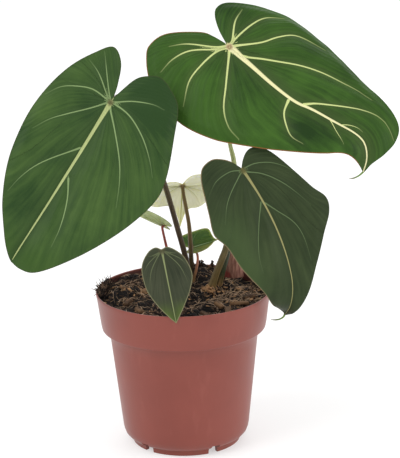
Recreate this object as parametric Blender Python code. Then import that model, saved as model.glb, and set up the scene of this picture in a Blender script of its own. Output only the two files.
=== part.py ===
"""Potted philodendron: seven heart-shaped leaves on their stalks, growing out of soil in a
round nursery pot. Modelled in metres, +Z up, with the origin at the centre of the underside."""

from math import cos, pi, radians, sin

import bmesh
import bpy
import numpy as np
from mathutils import Matrix, Vector

MM = 0.001

# Driving dimensions, in millimetres
POT_HEIGHT = 108.0
RIM_RADIUS = 60.0
COLLAR_HEIGHT = 26.0
COLLAR_FOOT_RADIUS = 56.6
WALL_TOP_RADIUS = 51.6
WALL_FOOT_RADIUS = 43.9
WALL_FOOT_HEIGHT = 12.4
FOOT_RADIUS = 37.5
FOOT_HEIGHT = 4.0
FOOT_WIDTH = 3.0
POT_WALL = 1.2
NOTCH_COUNT = 5
NOTCH_WIDTH = 6.0
NOTCH_HEIGHT = 7.0
NOTCH_FIRST_ANGLE = 11.0
PAD_RADIUS = 9.0
FLOOR_UNDERSIDE = 7.5
FLOOR_TOP = FLOOR_UNDERSIDE + POT_WALL
POT_SEGMENTS = 48

SOIL_LEVEL = 102.5
SOIL_RINGS = 9
SOIL_RIM_FALL = 1.5
# Heaps on the soil: (across, back, height, spread)
SOIL_HEAPS = [(12, 44, 5.5, 260), (-48, 8, 4.0, 90), (12, 22, 3.0, 500)]
SEAT_GAP = 0.3
SOCKET_DEPTH = 7.0

BLADE_THICKNESS = 0.7
SINUS_ROWS = 5
MIDRIB_ROWS = 17
BLADE_COLUMNS = 6
SHOULDER_SHARE = 0.24
STALK_POINTS = 16
STALK_APPROACH = (0.042, 0.02, 0.008, 0)

# Each leaf: the joint is where the stalk meets the blade. The midrib leaves the joint along
# heading (degrees from +X) and dip (below level), and roll turns the blade about it. The blade's
# shape is given flat, as (across, along) points from the joint, for each half, from the bottom of
# the heart's notch round the lobe and down to the tip. fold is each half's rise from the midrib,
# bend its curl per millimetre in thousandths of a radian, arch the midrib's fall, sway its
# sideways turn; curl and hook are the last part's extra fall and turn. stalk is the stalk's route
# from its foot in the soil up to the blade.
LEAVES = {
    "left": {
        "joint": (-45, -15, 244), "heading": -146, "dip": 51, "roll": -54,
        "length": 126, "fold": (28, 14), "bend": (14, 7), "arch": 8, "lobe": -10,
        "curl_from": 0.8, "curl": 35, "sway": (3, 0), "hook": 0,
        "far_half": [(0, -4), (2, -13), (8, -26), (18, -32), (27, -22), (37, -4), (43, 20),
                     (43, 45), (38, 70), (27, 94), (14, 111), (4, 122), (0, 126)],
        "near_half": [(0, -4), (-6, -21), (-13, -28), (-21, -31), (-31, -27), (-41, -19), (-49, 0),
                      (-58, 24), (-60, 40), (-54, 62), (-44, 84), (-32, 104), (-18, 121),
                      (-8, 126), (0, 126)],
        "stalk": [(3, 26, 100), (3, 24, 118), (-2, 20, 142), (-14, 12, 190), (-28, 9, 226),
                  (-39, 6, 243)],
        "stalk_radius": (2.1, 1.5),
    },
    "top": {
        "joint": (35, 20, 273), "heading": -35, "dip": 33, "roll": 38,
        "length": 132, "fold": (8, 6), "bend": (8, 12), "arch": 8, "lobe": -15,
        "curl_from": 0.74, "curl": 62, "sway": (-2, -24), "hook": 88,
        "far_half": [(0, -3), (2, -13), (5, -21), (15, -31), (25, -38), (35, -40), (43, -37),
                     (55, -22), (62, 0), (63, 18), (57, 38), (49, 52), (41, 65), (32, 79),
                     (24, 91), (16, 103), (10, 113), (5, 123), (0, 133)],
        "near_half": [(0, -3), (-4, -14), (-10, -24), (-16, -28), (-24, -26), (-37, -14),
                      (-48, 3), (-53.5, 20), (-54.5, 36), (-52.5, 56), (-48, 77),
                      (-42.5, 97), (-38, 107), (-33, 115), (-25, 119), (-15, 122), (-5, 126), (0, 133)],
        "stalk": [(23, 16.5, 100), (27, 17, 115), (30, 18, 125), (33, 20, 137), (38, 25, 165),
                  (37, 28, 190), (34, 29, 207), (33, 31, 240), (34, 32, 262)],
        "stalk_radius": (2.8, 1.1),
    },
    "right": {
        "joint": (42, -25, 198), "heading": -17, "dip": 54, "roll": 63,
        "length": 100, "fold": (12, 12), "bend": (8, 8), "arch": 6, "lobe": 0,
        "curl_from": 0.75, "curl": 41, "sway": (19, 15), "hook": 14,
        "far_half": [(0, -2), (3, -9), (7, -14), (13, -18), (21, -17.5), (26, -13), (30.5, -4),
                     (36, 12), (40, 28), (36, 42), (31, 66), (17, 94), (7, 106), (0, 110)],
        "near_half": [(0, -2), (-4, -6), (-9, -9), (-14, -9), (-19, -5), (-23, 2), (-28.5, 18),
                      (-33.5, 31), (-39, 40), (-37, 48), (-28, 59), (-17, 76), (-10, 91),
                      (-5, 102), (0, 110)],
        "stalk": [(18, 13, 100), (23, 12, 115), (27, 11.5, 125), (31, 11, 137), (37, 5, 170),
                  (42, -10, 192)],
        "stalk_radius": (2.8, 1.3),
    },
    "front": {
        "joint": (-13, -50, 151), "heading": -59, "dip": 71, "roll": 34,
        "length": 50, "fold": (10, 10), "bend": (20, 20), "arch": 6, "lobe": 0,
        "curl_from": 0.8, "curl": 0, "sway": (0, 0), "hook": 0,
        "far_half": [(0, -1), (4, -3), (9, -1), (14, 5), (16, 12), (15, 24), (10, 35), (4, 44),
                     (0, 49)],
        "near_half": [(0, -1), (-4, -2), (-9, 1), (-14, 7), (-17, 18), (-14, 28), (-8, 38),
                      (-3, 45), (0, 49)],
        "stalk": [(-2, 3, 100), (-5, -4, 118), (-9, -18, 135), (-12, -36, 147)],
        "stalk_radius": (1.4, 0.8),
    },
    "back": {
        "joint": (1, 37, 172), "heading": 111, "dip": 77, "roll": 20,
        "length": 36, "fold": (10, 10), "bend": (20, 20), "arch": 15, "lobe": 40,
        "curl_from": 0.8, "curl": 0, "sway": (0, 0), "hook": 0,
        "far_half": [(0, -1), (4, -6), (9, -8.5), (15, -8), (20, -2), (21, 5), (17, 12), (12, 16),
                     (6, 17.5), (3.5, 20), (1.5, 25.5), (0, 31)],
        "near_half": [(0, -1), (-4, -1.8), (-10, -1.2), (-16, 1.5), (-22, 7), (-24.5, 12),
                      (-22, 16), (-17, 17.5), (-11, 16), (-6.5, 15.5), (-3.8, 20),
                      (-1.6, 25.5), (0, 31)],
        "stalk": [(5, 31.5, 100), (6, 30, 112), (5.8, 29.5, 125), (5, 30, 145), (2, 33, 164)],
        "stalk_radius": (2.0, 1.1),
    },
    "side": {
        "joint": (-12, -2, 155), "heading": 171, "dip": -29, "roll": 29,
        "length": 42, "fold": (6, 6), "bend": (8, 8), "arch": 12, "lobe": 0,
        "curl_from": 0.8, "curl": 0, "sway": (0, 0), "hook": 0,
        "far_half": [(0, -1), (3, -4), (8, -5), (14, 0), (17, 9), (15, 20), (10, 31), (4, 40),
                     (0, 46)],
        "near_half": [(0, -1), (-3, -4), (-8, -5), (-14, 0), (-17, 9), (-15, 20), (-10, 31),
                      (-4, 40), (0, 46)],
        "stalk": [(-4, 12, 100), (-7.5, 6, 120), (-10.6, 1, 138), (-12.2, -1.5, 147)],
        "stalk_radius": (1.3, 0.8),
    },
    "young": {
        "joint": (6, 46, 124), "heading": 11, "dip": -14, "roll": 40,
        "length": 20, "fold": (30, 20), "bend": (12, 12), "arch": 5, "lobe": 0,
        "curl_from": 0.8, "curl": 0, "sway": (0, 0), "hook": 0,
        "far_half": [(0, -1), (3, -4), (6, -3.5), (8, 0), (8.5, 5), (7, 10), (4, 14), (1, 17),
                     (0, 20)],
        "near_half": [(0, -1), (-3, -5), (-7, -6.5), (-10, -4), (-10.5, 1), (-10, 7), (-9, 12),
                      (-5, 15.5), (-1, 17.5), (0, 20)],
        "stalk": [(6.5, 24, 100), (7.4, 25, 107), (9.2, 28, 113), (10.5, 36, 118), (10, 43, 120.5),
                  (8, 46.5, 121.8)],
        "stalk_radius": (1.1, 0.8),
    },
}

# Bark chips lying on the soil: (across, back, length, width, turn in degrees)
BARK_CHIPS = [
    (38, -22, 13, 6, 20), (30, -36, 10, 5, -35), (45, -8, 9, 6, 70), (24, -25, 8, 4, 110),
    (-30, -30, 9, 5, 15), (-38, -12, 8, 5, -50), (-26, 12, 9, 5, 40), (-42, 8, 7, 4, 95),
    (14, -42, 8, 4, 5), (-12, 28, 8, 5, -20),
]
CHIP_THICKNESS = 2.0
CHIP_BEVEL = 0.35

SHEATH_FOOT = (37.0, 33.0)
SHEATH_HEIGHT = 31.0
SHEATH_WIDTH = 15.0
SHEATH_CURL_RADIUS = 9.0
SHEATH_THICKNESS = 0.8
SHEATH_ROWS = 8
SHEATH_COLUMNS = 6

COLOURS = {
    "pot": (0.29, 0.09, 0.07), "soil": (0.030, 0.018, 0.013), "bark": (0.17, 0.075, 0.035),
    "leaf": (0.045, 0.11, 0.025), "stalk": (0.07, 0.05, 0.02), "sheath": (0.30, 0.13, 0.10),
}
ROUGHNESS = {"pot": 0.38, "soil": 0.95, "bark": 0.8, "leaf": 0.42, "stalk": 0.45, "sheath": 0.6}


def clear_scene():
    for obj in list(bpy.data.objects):
        bpy.data.objects.remove(obj, do_unlink=True)


def material(name):
    found = bpy.data.materials.get(name)
    if found:
        return found
    made = bpy.data.materials.new(name)
    made.use_nodes = True
    shader = made.node_tree.nodes["Principled BSDF"]
    shader.inputs["Base Color"].default_value = (*COLOURS[name], 1.0)
    shader.inputs["Roughness"].default_value = ROUGHNESS[name]
    shader.inputs["Metallic"].default_value = 0.0
    return made


def add_object(name, data, finish):
    obj = bpy.data.objects.new(name, data)
    bpy.context.collection.objects.link(obj)
    data.materials.append(material(finish))
    return obj


def add_mesh(name, points, faces, finish):
    """An object from points in millimetres and faces wound to point outward."""
    mesh = bpy.data.meshes.new(name)
    mesh.from_pydata([Vector(p) * MM for p in points], [], faces)
    mesh.update()
    obj = add_object(name, mesh, finish)
    mesh.shade_smooth()
    mesh.set_sharp_from_angle(angle=radians(35))
    return obj


def curve_through(points, count, crowding=1.0):
    """count points on a smooth curve through the given ones, crowded towards its end."""
    pts = np.array(points, float)
    ends = np.vstack([2 * pts[0] - pts[1], pts, 2 * pts[-1] - pts[-2]])
    dense = []
    for before, start, stop, after in zip(ends, ends[1:], ends[2:], ends[3:]):
        for t in np.linspace(0, 1, 12, endpoint=False):
            slope = (stop - before) * t
            square = (2 * before - 5 * start + 4 * stop - after) * t ** 2
            cube = (3 * start - before - 3 * stop + after) * t ** 3
            dense.append(0.5 * (2 * start + slope + square + cube))
    dense.append(pts[-1])
    dense = np.array(dense)
    steps = np.linalg.norm(np.diff(dense, axis=0), axis=1)
    travelled = np.concatenate([[0.0], np.cumsum(steps)])
    wanted = travelled[-1] * (1 - (1 - np.linspace(0, 1, count)) ** crowding)
    return np.stack([np.interp(wanted, travelled, axis) for axis in dense.T], axis=1)


# Pot --------------------------------------------------------------------------------------

def pot_outside():
    """(radius, height) down the pot's outer side, from the rim to the foot."""
    collar_foot = POT_HEIGHT - COLLAR_HEIGHT
    side = [(RIM_RADIUS - 0.5, POT_HEIGHT), (RIM_RADIUS, POT_HEIGHT - 0.6)]
    side += [(COLLAR_FOOT_RADIUS, collar_foot + 0.8), (COLLAR_FOOT_RADIUS - 0.8, collar_foot)]
    side += [(WALL_TOP_RADIUS, collar_foot - 0.3), (WALL_FOOT_RADIUS, WALL_FOOT_HEIGHT)]
    side += [(WALL_FOOT_RADIUS - 0.6, 8.6), (WALL_FOOT_RADIUS - 2.6, FOOT_HEIGHT + 1.2)]
    side += [(FOOT_RADIUS + 1.0, FOOT_HEIGHT), (FOOT_RADIUS, FOOT_HEIGHT - 0.6), (FOOT_RADIUS, 0)]
    return side


def pot_inside():
    """(radius, height) up the pot's inner side, from the middle of the floor to the rim."""
    collar_foot = POT_HEIGHT - COLLAR_HEIGHT
    side = [(0, FLOOR_TOP), (FOOT_RADIUS - 1.0, FLOOR_TOP)]
    side += [(WALL_FOOT_RADIUS - POT_WALL - 1.4, FLOOR_TOP + 3.4)]
    side += [(WALL_FOOT_RADIUS - POT_WALL + 0.2, WALL_FOOT_HEIGHT + 3.0)]
    side += [(WALL_TOP_RADIUS - POT_WALL, collar_foot + 0.9)]
    side += [(COLLAR_FOOT_RADIUS - POT_WALL, collar_foot + 1.6)]
    side += [(RIM_RADIUS - POT_WALL, POT_HEIGHT - 0.6), (RIM_RADIUS - POT_WALL + 0.2, POT_HEIGHT)]
    return side


def revolve(name, profile, finish, segments):
    """A closed turned solid from (radius, height) points running down the outside and back in."""
    points = []
    rings = []
    for radius, height in profile:
        if radius == 0:
            rings.append([len(points)] * segments)
            points.append((0, 0, height))
            continue
        rings.append(list(range(len(points), len(points) + segments)))
        for k in range(segments):
            turn = 2 * pi * k / segments
            points.append((radius * cos(turn), radius * sin(turn), height))
    faces = []
    for upper, lower in zip(rings, rings[1:]):
        for k in range(segments):
            n = (k + 1) % segments
            corners = [upper[k], lower[k], lower[n], upper[n]]
            face = [c for i, c in enumerate(corners) if c != corners[i - 1]]
            if len(face) > 2:
                faces.append(face)
    return add_mesh(name, points, faces, finish)


def add_cutter(name, points, faces):
    cutter = add_mesh(name, points, faces, "soil")
    cutter.hide_render = True
    cutter.display_type = "WIRE"
    return cutter


def cut(obj, cutter):
    difference = obj.modifiers.new(cutter.name, "BOOLEAN")
    difference.operation = "DIFFERENCE"
    difference.solver = "EXACT"
    difference.object = cutter


BOX_FACES = [(0, 3, 2, 1), (4, 5, 6, 7), (0, 1, 5, 4), (1, 2, 6, 5), (2, 3, 7, 6), (3, 0, 4, 7)]


def notch_points(turn):
    """A tapering block through the foot and the corner above it, at one angle round the pot."""
    near, far = FOOT_RADIUS - FOOT_WIDTH - 1.0, WALL_FOOT_RADIUS + 4.0
    points = []
    for height, half in ((-1.0, NOTCH_WIDTH / 2 + 0.6), (NOTCH_HEIGHT, NOTCH_WIDTH / 2)):
        for out, across in ((near, -half), (far, -half), (far, half), (near, half)):
            x = out * cos(turn) - across * sin(turn)
            y = out * sin(turn) + across * cos(turn)
            points.append((x, y, height))
    return points


def make_pot():
    """A thin wall with a deep collar, standing on a notched ring foot and a flat centre pad."""
    foot_inside = FOOT_RADIUS - FOOT_WIDTH
    under = [(foot_inside, 0), (foot_inside - 0.6, FLOOR_UNDERSIDE)]
    under += [(PAD_RADIUS + 1.0, FLOOR_UNDERSIDE), (PAD_RADIUS, 0), (0, 0)]
    pot = revolve("pot", pot_inside() + pot_outside() + under, "pot", POT_SEGMENTS)
    for k in range(NOTCH_COUNT):
        turn = radians(NOTCH_FIRST_ANGLE) + 2 * pi * k / NOTCH_COUNT
        cut(pot, add_cutter("notch_cutter_%d" % (k + 1), notch_points(turn), BOX_FACES))
    return pot


# Soil -------------------------------------------------------------------------------------

def soil_height(x, y):
    """The soil's lumpy top: level near the rim, heaped at the back and at the left."""
    out = (x * x + y * y) ** 0.5
    level = SOIL_LEVEL - SOIL_RIM_FALL * max(0.0, (out - 48) / 10)
    level += 1.2 * sin(x / 7 + 1) * cos(y / 6) + 0.8 * sin(x / 4.1 - y / 5.3)
    for across, back, height, spread in SOIL_HEAPS:
        level += height * np.exp(-((x - across) ** 2 + (y - back) ** 2) / spread)
    return float(level)


def soil_profile():
    """(radius, height) down the side of the packed soil, one seat gap inside the pot."""
    collar_foot = POT_HEIGHT - COLLAR_HEIGHT
    inner = POT_WALL + SEAT_GAP
    side = [(COLLAR_FOOT_RADIUS - inner, collar_foot + 2.6)]
    side += [(WALL_TOP_RADIUS - inner - 0.1, collar_foot + 1.6)]
    side += [(WALL_FOOT_RADIUS - inner + 0.2, WALL_FOOT_HEIGHT + 3.4)]
    side += [(WALL_FOOT_RADIUS - inner - 1.8, FLOOR_TOP + 4.0)]
    side += [(FOOT_RADIUS - 2.0, FLOOR_TOP + SEAT_GAP), (0, FLOOR_TOP + SEAT_GAP)]
    return side


def make_soil():
    """Packed soil with a lumpy top, and a socket where each stalk stands."""
    edge = RIM_RADIUS - POT_WALL - SEAT_GAP - 0.9
    profile = [(0, SOIL_LEVEL)]
    profile += [(edge * (k + 1) / SOIL_RINGS, SOIL_LEVEL) for k in range(SOIL_RINGS)]
    soil = revolve("soil", profile + soil_profile(), "soil", POT_SEGMENTS)
    for vertex in soil.data.vertices:
        x, y, z = vertex.co / MM
        if z > SOIL_LEVEL - 0.5:
            vertex.co.z = soil_height(x, y) * MM
    return soil


# Leaves -----------------------------------------------------------------------------------

def leaf_axes(leaf):
    """Unit vectors along the midrib, across the blade and out of its upper face."""
    heading, dip, roll = (radians(leaf[key]) for key in ("heading", "dip", "roll"))
    along = np.array([cos(dip) * cos(heading), cos(dip) * sin(heading), -sin(dip)])
    level = np.array([sin(dip) * cos(heading), sin(dip) * sin(heading), cos(dip)])
    upper = cos(roll) * level + sin(roll) * np.cross(along, level)
    return along, np.cross(along, upper), upper


def blade_points(leaf, across, along):
    """Places of flat blade points, in millimetres, on the folded, arched and curled blade."""
    length = leaf["length"]
    run = np.linspace(-60, length * 1.15, 400)
    part = run / length
    ahead = np.clip(part, 0, None)
    last = np.clip((part - leaf["curl_from"]) / (1 - leaf["curl_from"]), 0, 1.4) ** 1.5
    fall = leaf["arch"] * ahead + leaf["lobe"] * np.clip(-part, 0, None) + leaf["curl"] * last
    fall = np.radians(fall)
    turn = leaf["sway"][0] * ahead + leaf["sway"][1] * ahead ** 2 + leaf["hook"] * last
    turn = np.radians(turn)
    heads = np.stack([np.cos(fall) * np.cos(turn), np.cos(fall) * np.sin(turn), -np.sin(fall)], 1)
    steps = (heads[1:] + heads[:-1]) / 2 * np.diff(run)[:, None]
    rib = np.concatenate([np.zeros((1, 3)), np.cumsum(steps, axis=0)])
    rib -= [np.interp(0, run, axis) for axis in rib.T]
    here = np.stack([np.interp(along, run, axis) for axis in rib.T], axis=-1)
    fall_here = np.interp(along, run, fall)
    turn_here = np.interp(along, run, turn)
    sideways = np.stack([-np.sin(turn_here), np.cos(turn_here), 0 * turn_here], axis=-1)
    ahead_here = np.stack([np.cos(fall_here) * np.cos(turn_here),
                           np.cos(fall_here) * np.sin(turn_here), -np.sin(fall_here)], axis=-1)
    upward = np.cross(ahead_here, sideways)
    far = across >= 0
    fold = np.radians(np.where(far, leaf["fold"][0], leaf["fold"][1]))
    bend = np.where(far, leaf["bend"][0], leaf["bend"][1]) / 1000
    reach = np.abs(across)
    level = np.sign(across) * (np.sin(fold) - np.sin(fold - bend * reach)) / bend
    rise = (np.cos(fold - bend * reach) - np.cos(fold)) / bend
    local = here + sideways * level[..., None] + upward * rise[..., None]
    return np.array(leaf["joint"]) + local @ np.stack(leaf_axes(leaf))


def half_grid(outline):
    """Rows of flat points over half a blade, from its sinus edge and midrib out to its margin."""
    edge = curve_through(outline, 240)
    lobe = int(np.argmin(edge[:, 1]))
    sinus, margin = edge[:lobe + 1][::-1], edge[lobe:]
    centre = np.array([edge[0], edge[-1]])
    inner = np.vstack([curve_through(sinus, SINUS_ROWS + 1),
                       curve_through(centre, MIDRIB_ROWS + 1)[1:]])
    shoulder = int(len(margin) * SHOULDER_SHARE)
    outer = np.vstack([curve_through(margin[:shoulder + 1], SINUS_ROWS + 1),
                       curve_through(margin[shoulder:], MIDRIB_ROWS + 1)[1:]])
    steps = np.linspace(0, 1, BLADE_COLUMNS + 1)[None, :, None]
    return inner[:, None] * (1 - steps) + outer[:, None] * steps


def make_blade(name, leaf):
    """A thin closed blade: two grids that share the midrib, thickened both ways."""
    flat, faces, index = [], [], {}

    def corner(side, row, column, place):
        if row == SINUS_ROWS + MIDRIB_ROWS:
            key = "tip"
        elif row == 0:
            key = (side, "lobe")
        elif column == 0 and row >= SINUS_ROWS:
            key = ("midrib", row)
        else:
            key = (side, row, column)
        if key not in index:
            index[key] = len(flat)
            flat.append(place)
        return index[key]

    for side, half in ((1, "far_half"), (-1, "near_half")):
        grid = half_grid(leaf[half])
        for row in range(grid.shape[0] - 1):
            for column in range(grid.shape[1] - 1):
                around = ((row, column), (row + 1, column), (row + 1, column + 1), (row, column + 1))
                ids = [corner(side, r, c, grid[r, c]) for r, c in around]
                face = [c for i, c in enumerate(ids) if c != ids[i - 1]]
                if len(face) > 2:
                    faces.append(face if side > 0 else face[::-1])
    flat = np.array(flat)
    points = blade_points(leaf, flat[:, 0], flat[:, 1])
    blade = add_mesh("blade_" + name, points, faces, "leaf")
    thicken = blade.modifiers.new("thicken", "SOLIDIFY")
    thicken.thickness = BLADE_THICKNESS * MM
    thicken.offset = 0.0
    thicken.use_rim = True
    return blade


def stalk_route(leaf):
    """The stalk's centre line, from the soil up to just under the joint, square to the blade."""
    upper = leaf_axes(leaf)[2]
    joint = np.array(leaf["joint"], float)
    seat = BLADE_THICKNESS / 2 + SEAT_GAP
    below = [seat + share * leaf["length"] for share in STALK_APPROACH]
    return [*leaf["stalk"], *(tuple(joint - upper * depth) for depth in below)]


def make_stalk(name, leaf):
    """A round stalk that narrows from its foot to the blade."""
    centre = curve_through(stalk_route(leaf), STALK_POINTS, crowding=1.7)
    foot_radius, top_radius = leaf["stalk_radius"]
    curve = bpy.data.curves.new("stalk_" + name, "CURVE")
    curve.dimensions = "3D"
    curve.bevel_depth = MM
    curve.bevel_resolution = 2
    curve.use_fill_caps = True
    spline = curve.splines.new("POLY")
    spline.points.add(len(centre) - 1)
    for k, (point, place) in enumerate(zip(spline.points, centre)):
        point.co = (*(place * MM), 1.0)
        point.radius = foot_radius + (top_radius - foot_radius) * (k / (len(centre) - 1)) ** 0.7
    return add_object("stalk_" + name, curve, "stalk")


def socket_points(foot, ahead, radius):
    """A short slanted prism round a stalk's foot, a seat gap wider than the stalk."""
    lean = Vector(ahead) - Vector(foot)
    turn = lean.to_track_quat("Z", "Y")
    points = []
    for height in (-SEAT_GAP, SOCKET_DEPTH + 12.0):
        for k in range(12):
            angle = 2 * pi * k / 12
            spoke = Vector((cos(angle) * radius, sin(angle) * radius, height))
            points.append(Vector(foot) + turn @ spoke)
    return points


def make_sockets(soil):
    """Cuts a seat in the soil for each stalk's foot."""
    sides = [(k, (k + 1) % 12, (k + 1) % 12 + 12, k + 12) for k in range(12)]
    faces = [tuple(range(11, -1, -1)), tuple(range(12, 24))] + sides
    for name, leaf in LEAVES.items():
        foot, ahead = leaf["stalk"][:2]
        radius = leaf["stalk_radius"][0] + SEAT_GAP
        points = socket_points(foot, ahead, radius)
        cut(soil, add_cutter("socket_cutter_" + name, points, faces))


# Trim -------------------------------------------------------------------------------------

def make_sheath():
    """The dry leaf sheath that stands curled behind the thick stalks, narrowing to a point."""
    foot_x, foot_y = SHEATH_FOOT
    ground = soil_height(foot_x, foot_y) + 1.2
    points, faces = [], []
    for row in range(SHEATH_ROWS + 1):
        rise = row / SHEATH_ROWS
        half = SHEATH_WIDTH / 2 * (1 - 0.92 * rise ** 1.3)
        for column in range(SHEATH_COLUMNS + 1):
            angle = (2 * column / SHEATH_COLUMNS - 1) * half / SHEATH_CURL_RADIUS
            x = foot_x + SHEATH_CURL_RADIUS * sin(angle) + 1.5 * rise
            y = foot_y + SHEATH_CURL_RADIUS * (1 - cos(angle)) - 4.0 * rise
            points.append((x, y, ground + rise * SHEATH_HEIGHT))
    across = SHEATH_COLUMNS + 1
    for row in range(SHEATH_ROWS):
        for a in range(row * across, row * across + SHEATH_COLUMNS):
            faces.append((a, a + 1, a + across + 1, a + across))
    sheath = add_mesh("sheath", points, faces, "sheath")
    thicken = sheath.modifiers.new("thicken", "SOLIDIFY")
    thicken.thickness = SHEATH_THICKNESS * MM
    thicken.offset = 0.0
    return sheath


def make_chip(index, place):
    """A wedge of bark that lies on the soil along its slope."""
    x, y, length, width, turn = place
    mesh = bpy.data.meshes.new("bark_chip_%02d" % index)
    shape = bmesh.new()
    bmesh.ops.create_cube(shape, size=1.0)
    for vertex in shape.verts:
        taper = 1.0 - 0.35 * (vertex.co.x > 0) - 0.15 * (vertex.co.z > 0)
        skew = 0.12 * sin(index * 2.1) * vertex.co.x
        vertex.co = Vector((vertex.co.x * length, (vertex.co.y * taper + skew) * width,
                            vertex.co.z * CHIP_THICKNESS)) * MM
    bmesh.ops.bevel(shape, geom=shape.edges[:], offset=CHIP_BEVEL * MM, segments=1, affect="EDGES")
    step = 2.0
    slope_x = (soil_height(x + step, y) - soil_height(x - step, y)) / (2 * step)
    slope_y = (soil_height(x, y + step) - soil_height(x, y - step)) / (2 * step)
    normal = Vector((-slope_x, -slope_y, 1)).normalized()
    lie = normal.to_track_quat("Z", "Y").to_matrix().to_4x4()
    shape.transform(lie @ Matrix.Rotation(radians(turn), 4, "Z"))
    under = -CHIP_THICKNESS / 2 * normal.z
    ground = soil_height(x, y) - under
    for vertex in shape.verts:
        across, back, up = vertex.co / MM
        ground = max(ground, soil_height(x + across, y + back) - up)
        ground = max(ground, soil_height(x + across / 2, y + back / 2) - (up + under) / 2)
    shape.to_mesh(mesh)
    shape.free()
    chip = add_object(mesh.name, mesh, "bark")
    chip.location = Vector((x, y, ground + SEAT_GAP + 0.1)) * MM
    return chip


def main():
    clear_scene()
    make_pot()
    soil = make_soil()
    make_sockets(soil)
    for name, leaf in LEAVES.items():
        make_stalk(name, leaf)
        make_blade(name, leaf)
    make_sheath()
    for index, place in enumerate(BARK_CHIPS, 1):
        make_chip(index, place)


main()
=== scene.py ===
"""Looks of the potted philodendron: veined blades, stalks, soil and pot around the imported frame."""

import random
from math import atan2, cos, pi, radians, sin

import bmesh
import bpy
import numpy as np
from mathutils import Matrix, Vector, noise


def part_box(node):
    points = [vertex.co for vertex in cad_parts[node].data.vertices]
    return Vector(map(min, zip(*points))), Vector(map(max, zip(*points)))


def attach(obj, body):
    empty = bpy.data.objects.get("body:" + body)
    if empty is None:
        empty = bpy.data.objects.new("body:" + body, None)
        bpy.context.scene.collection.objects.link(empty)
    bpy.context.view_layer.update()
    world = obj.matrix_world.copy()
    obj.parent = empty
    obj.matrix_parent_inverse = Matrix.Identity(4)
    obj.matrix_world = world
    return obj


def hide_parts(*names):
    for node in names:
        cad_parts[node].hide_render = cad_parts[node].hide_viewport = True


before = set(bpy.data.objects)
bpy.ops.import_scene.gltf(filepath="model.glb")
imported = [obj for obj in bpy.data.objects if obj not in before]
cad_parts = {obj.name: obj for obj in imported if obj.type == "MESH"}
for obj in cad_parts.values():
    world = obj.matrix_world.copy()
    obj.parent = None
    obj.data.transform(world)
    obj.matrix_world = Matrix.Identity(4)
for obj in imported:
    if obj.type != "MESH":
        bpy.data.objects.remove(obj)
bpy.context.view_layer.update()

MM = 0.001

# Driving sizes, in millimetres
BLADE_STEP = 0.75
BLADE_THICKNESS = 0.55
SEAT_GAP = 0.3
SOIL_STEP = 0.6

# How finely round pieces are cut, and how many loose bits there are
POT_SEGMENTS = 160
SOIL_SEGMENTS = 320
STALK_SIDES = 20
STALK_RINGS = 110
LOOSE_BARK_COUNT = 1500
FIBRE_COUNT = 900
CHIP_COUNT = 10

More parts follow.
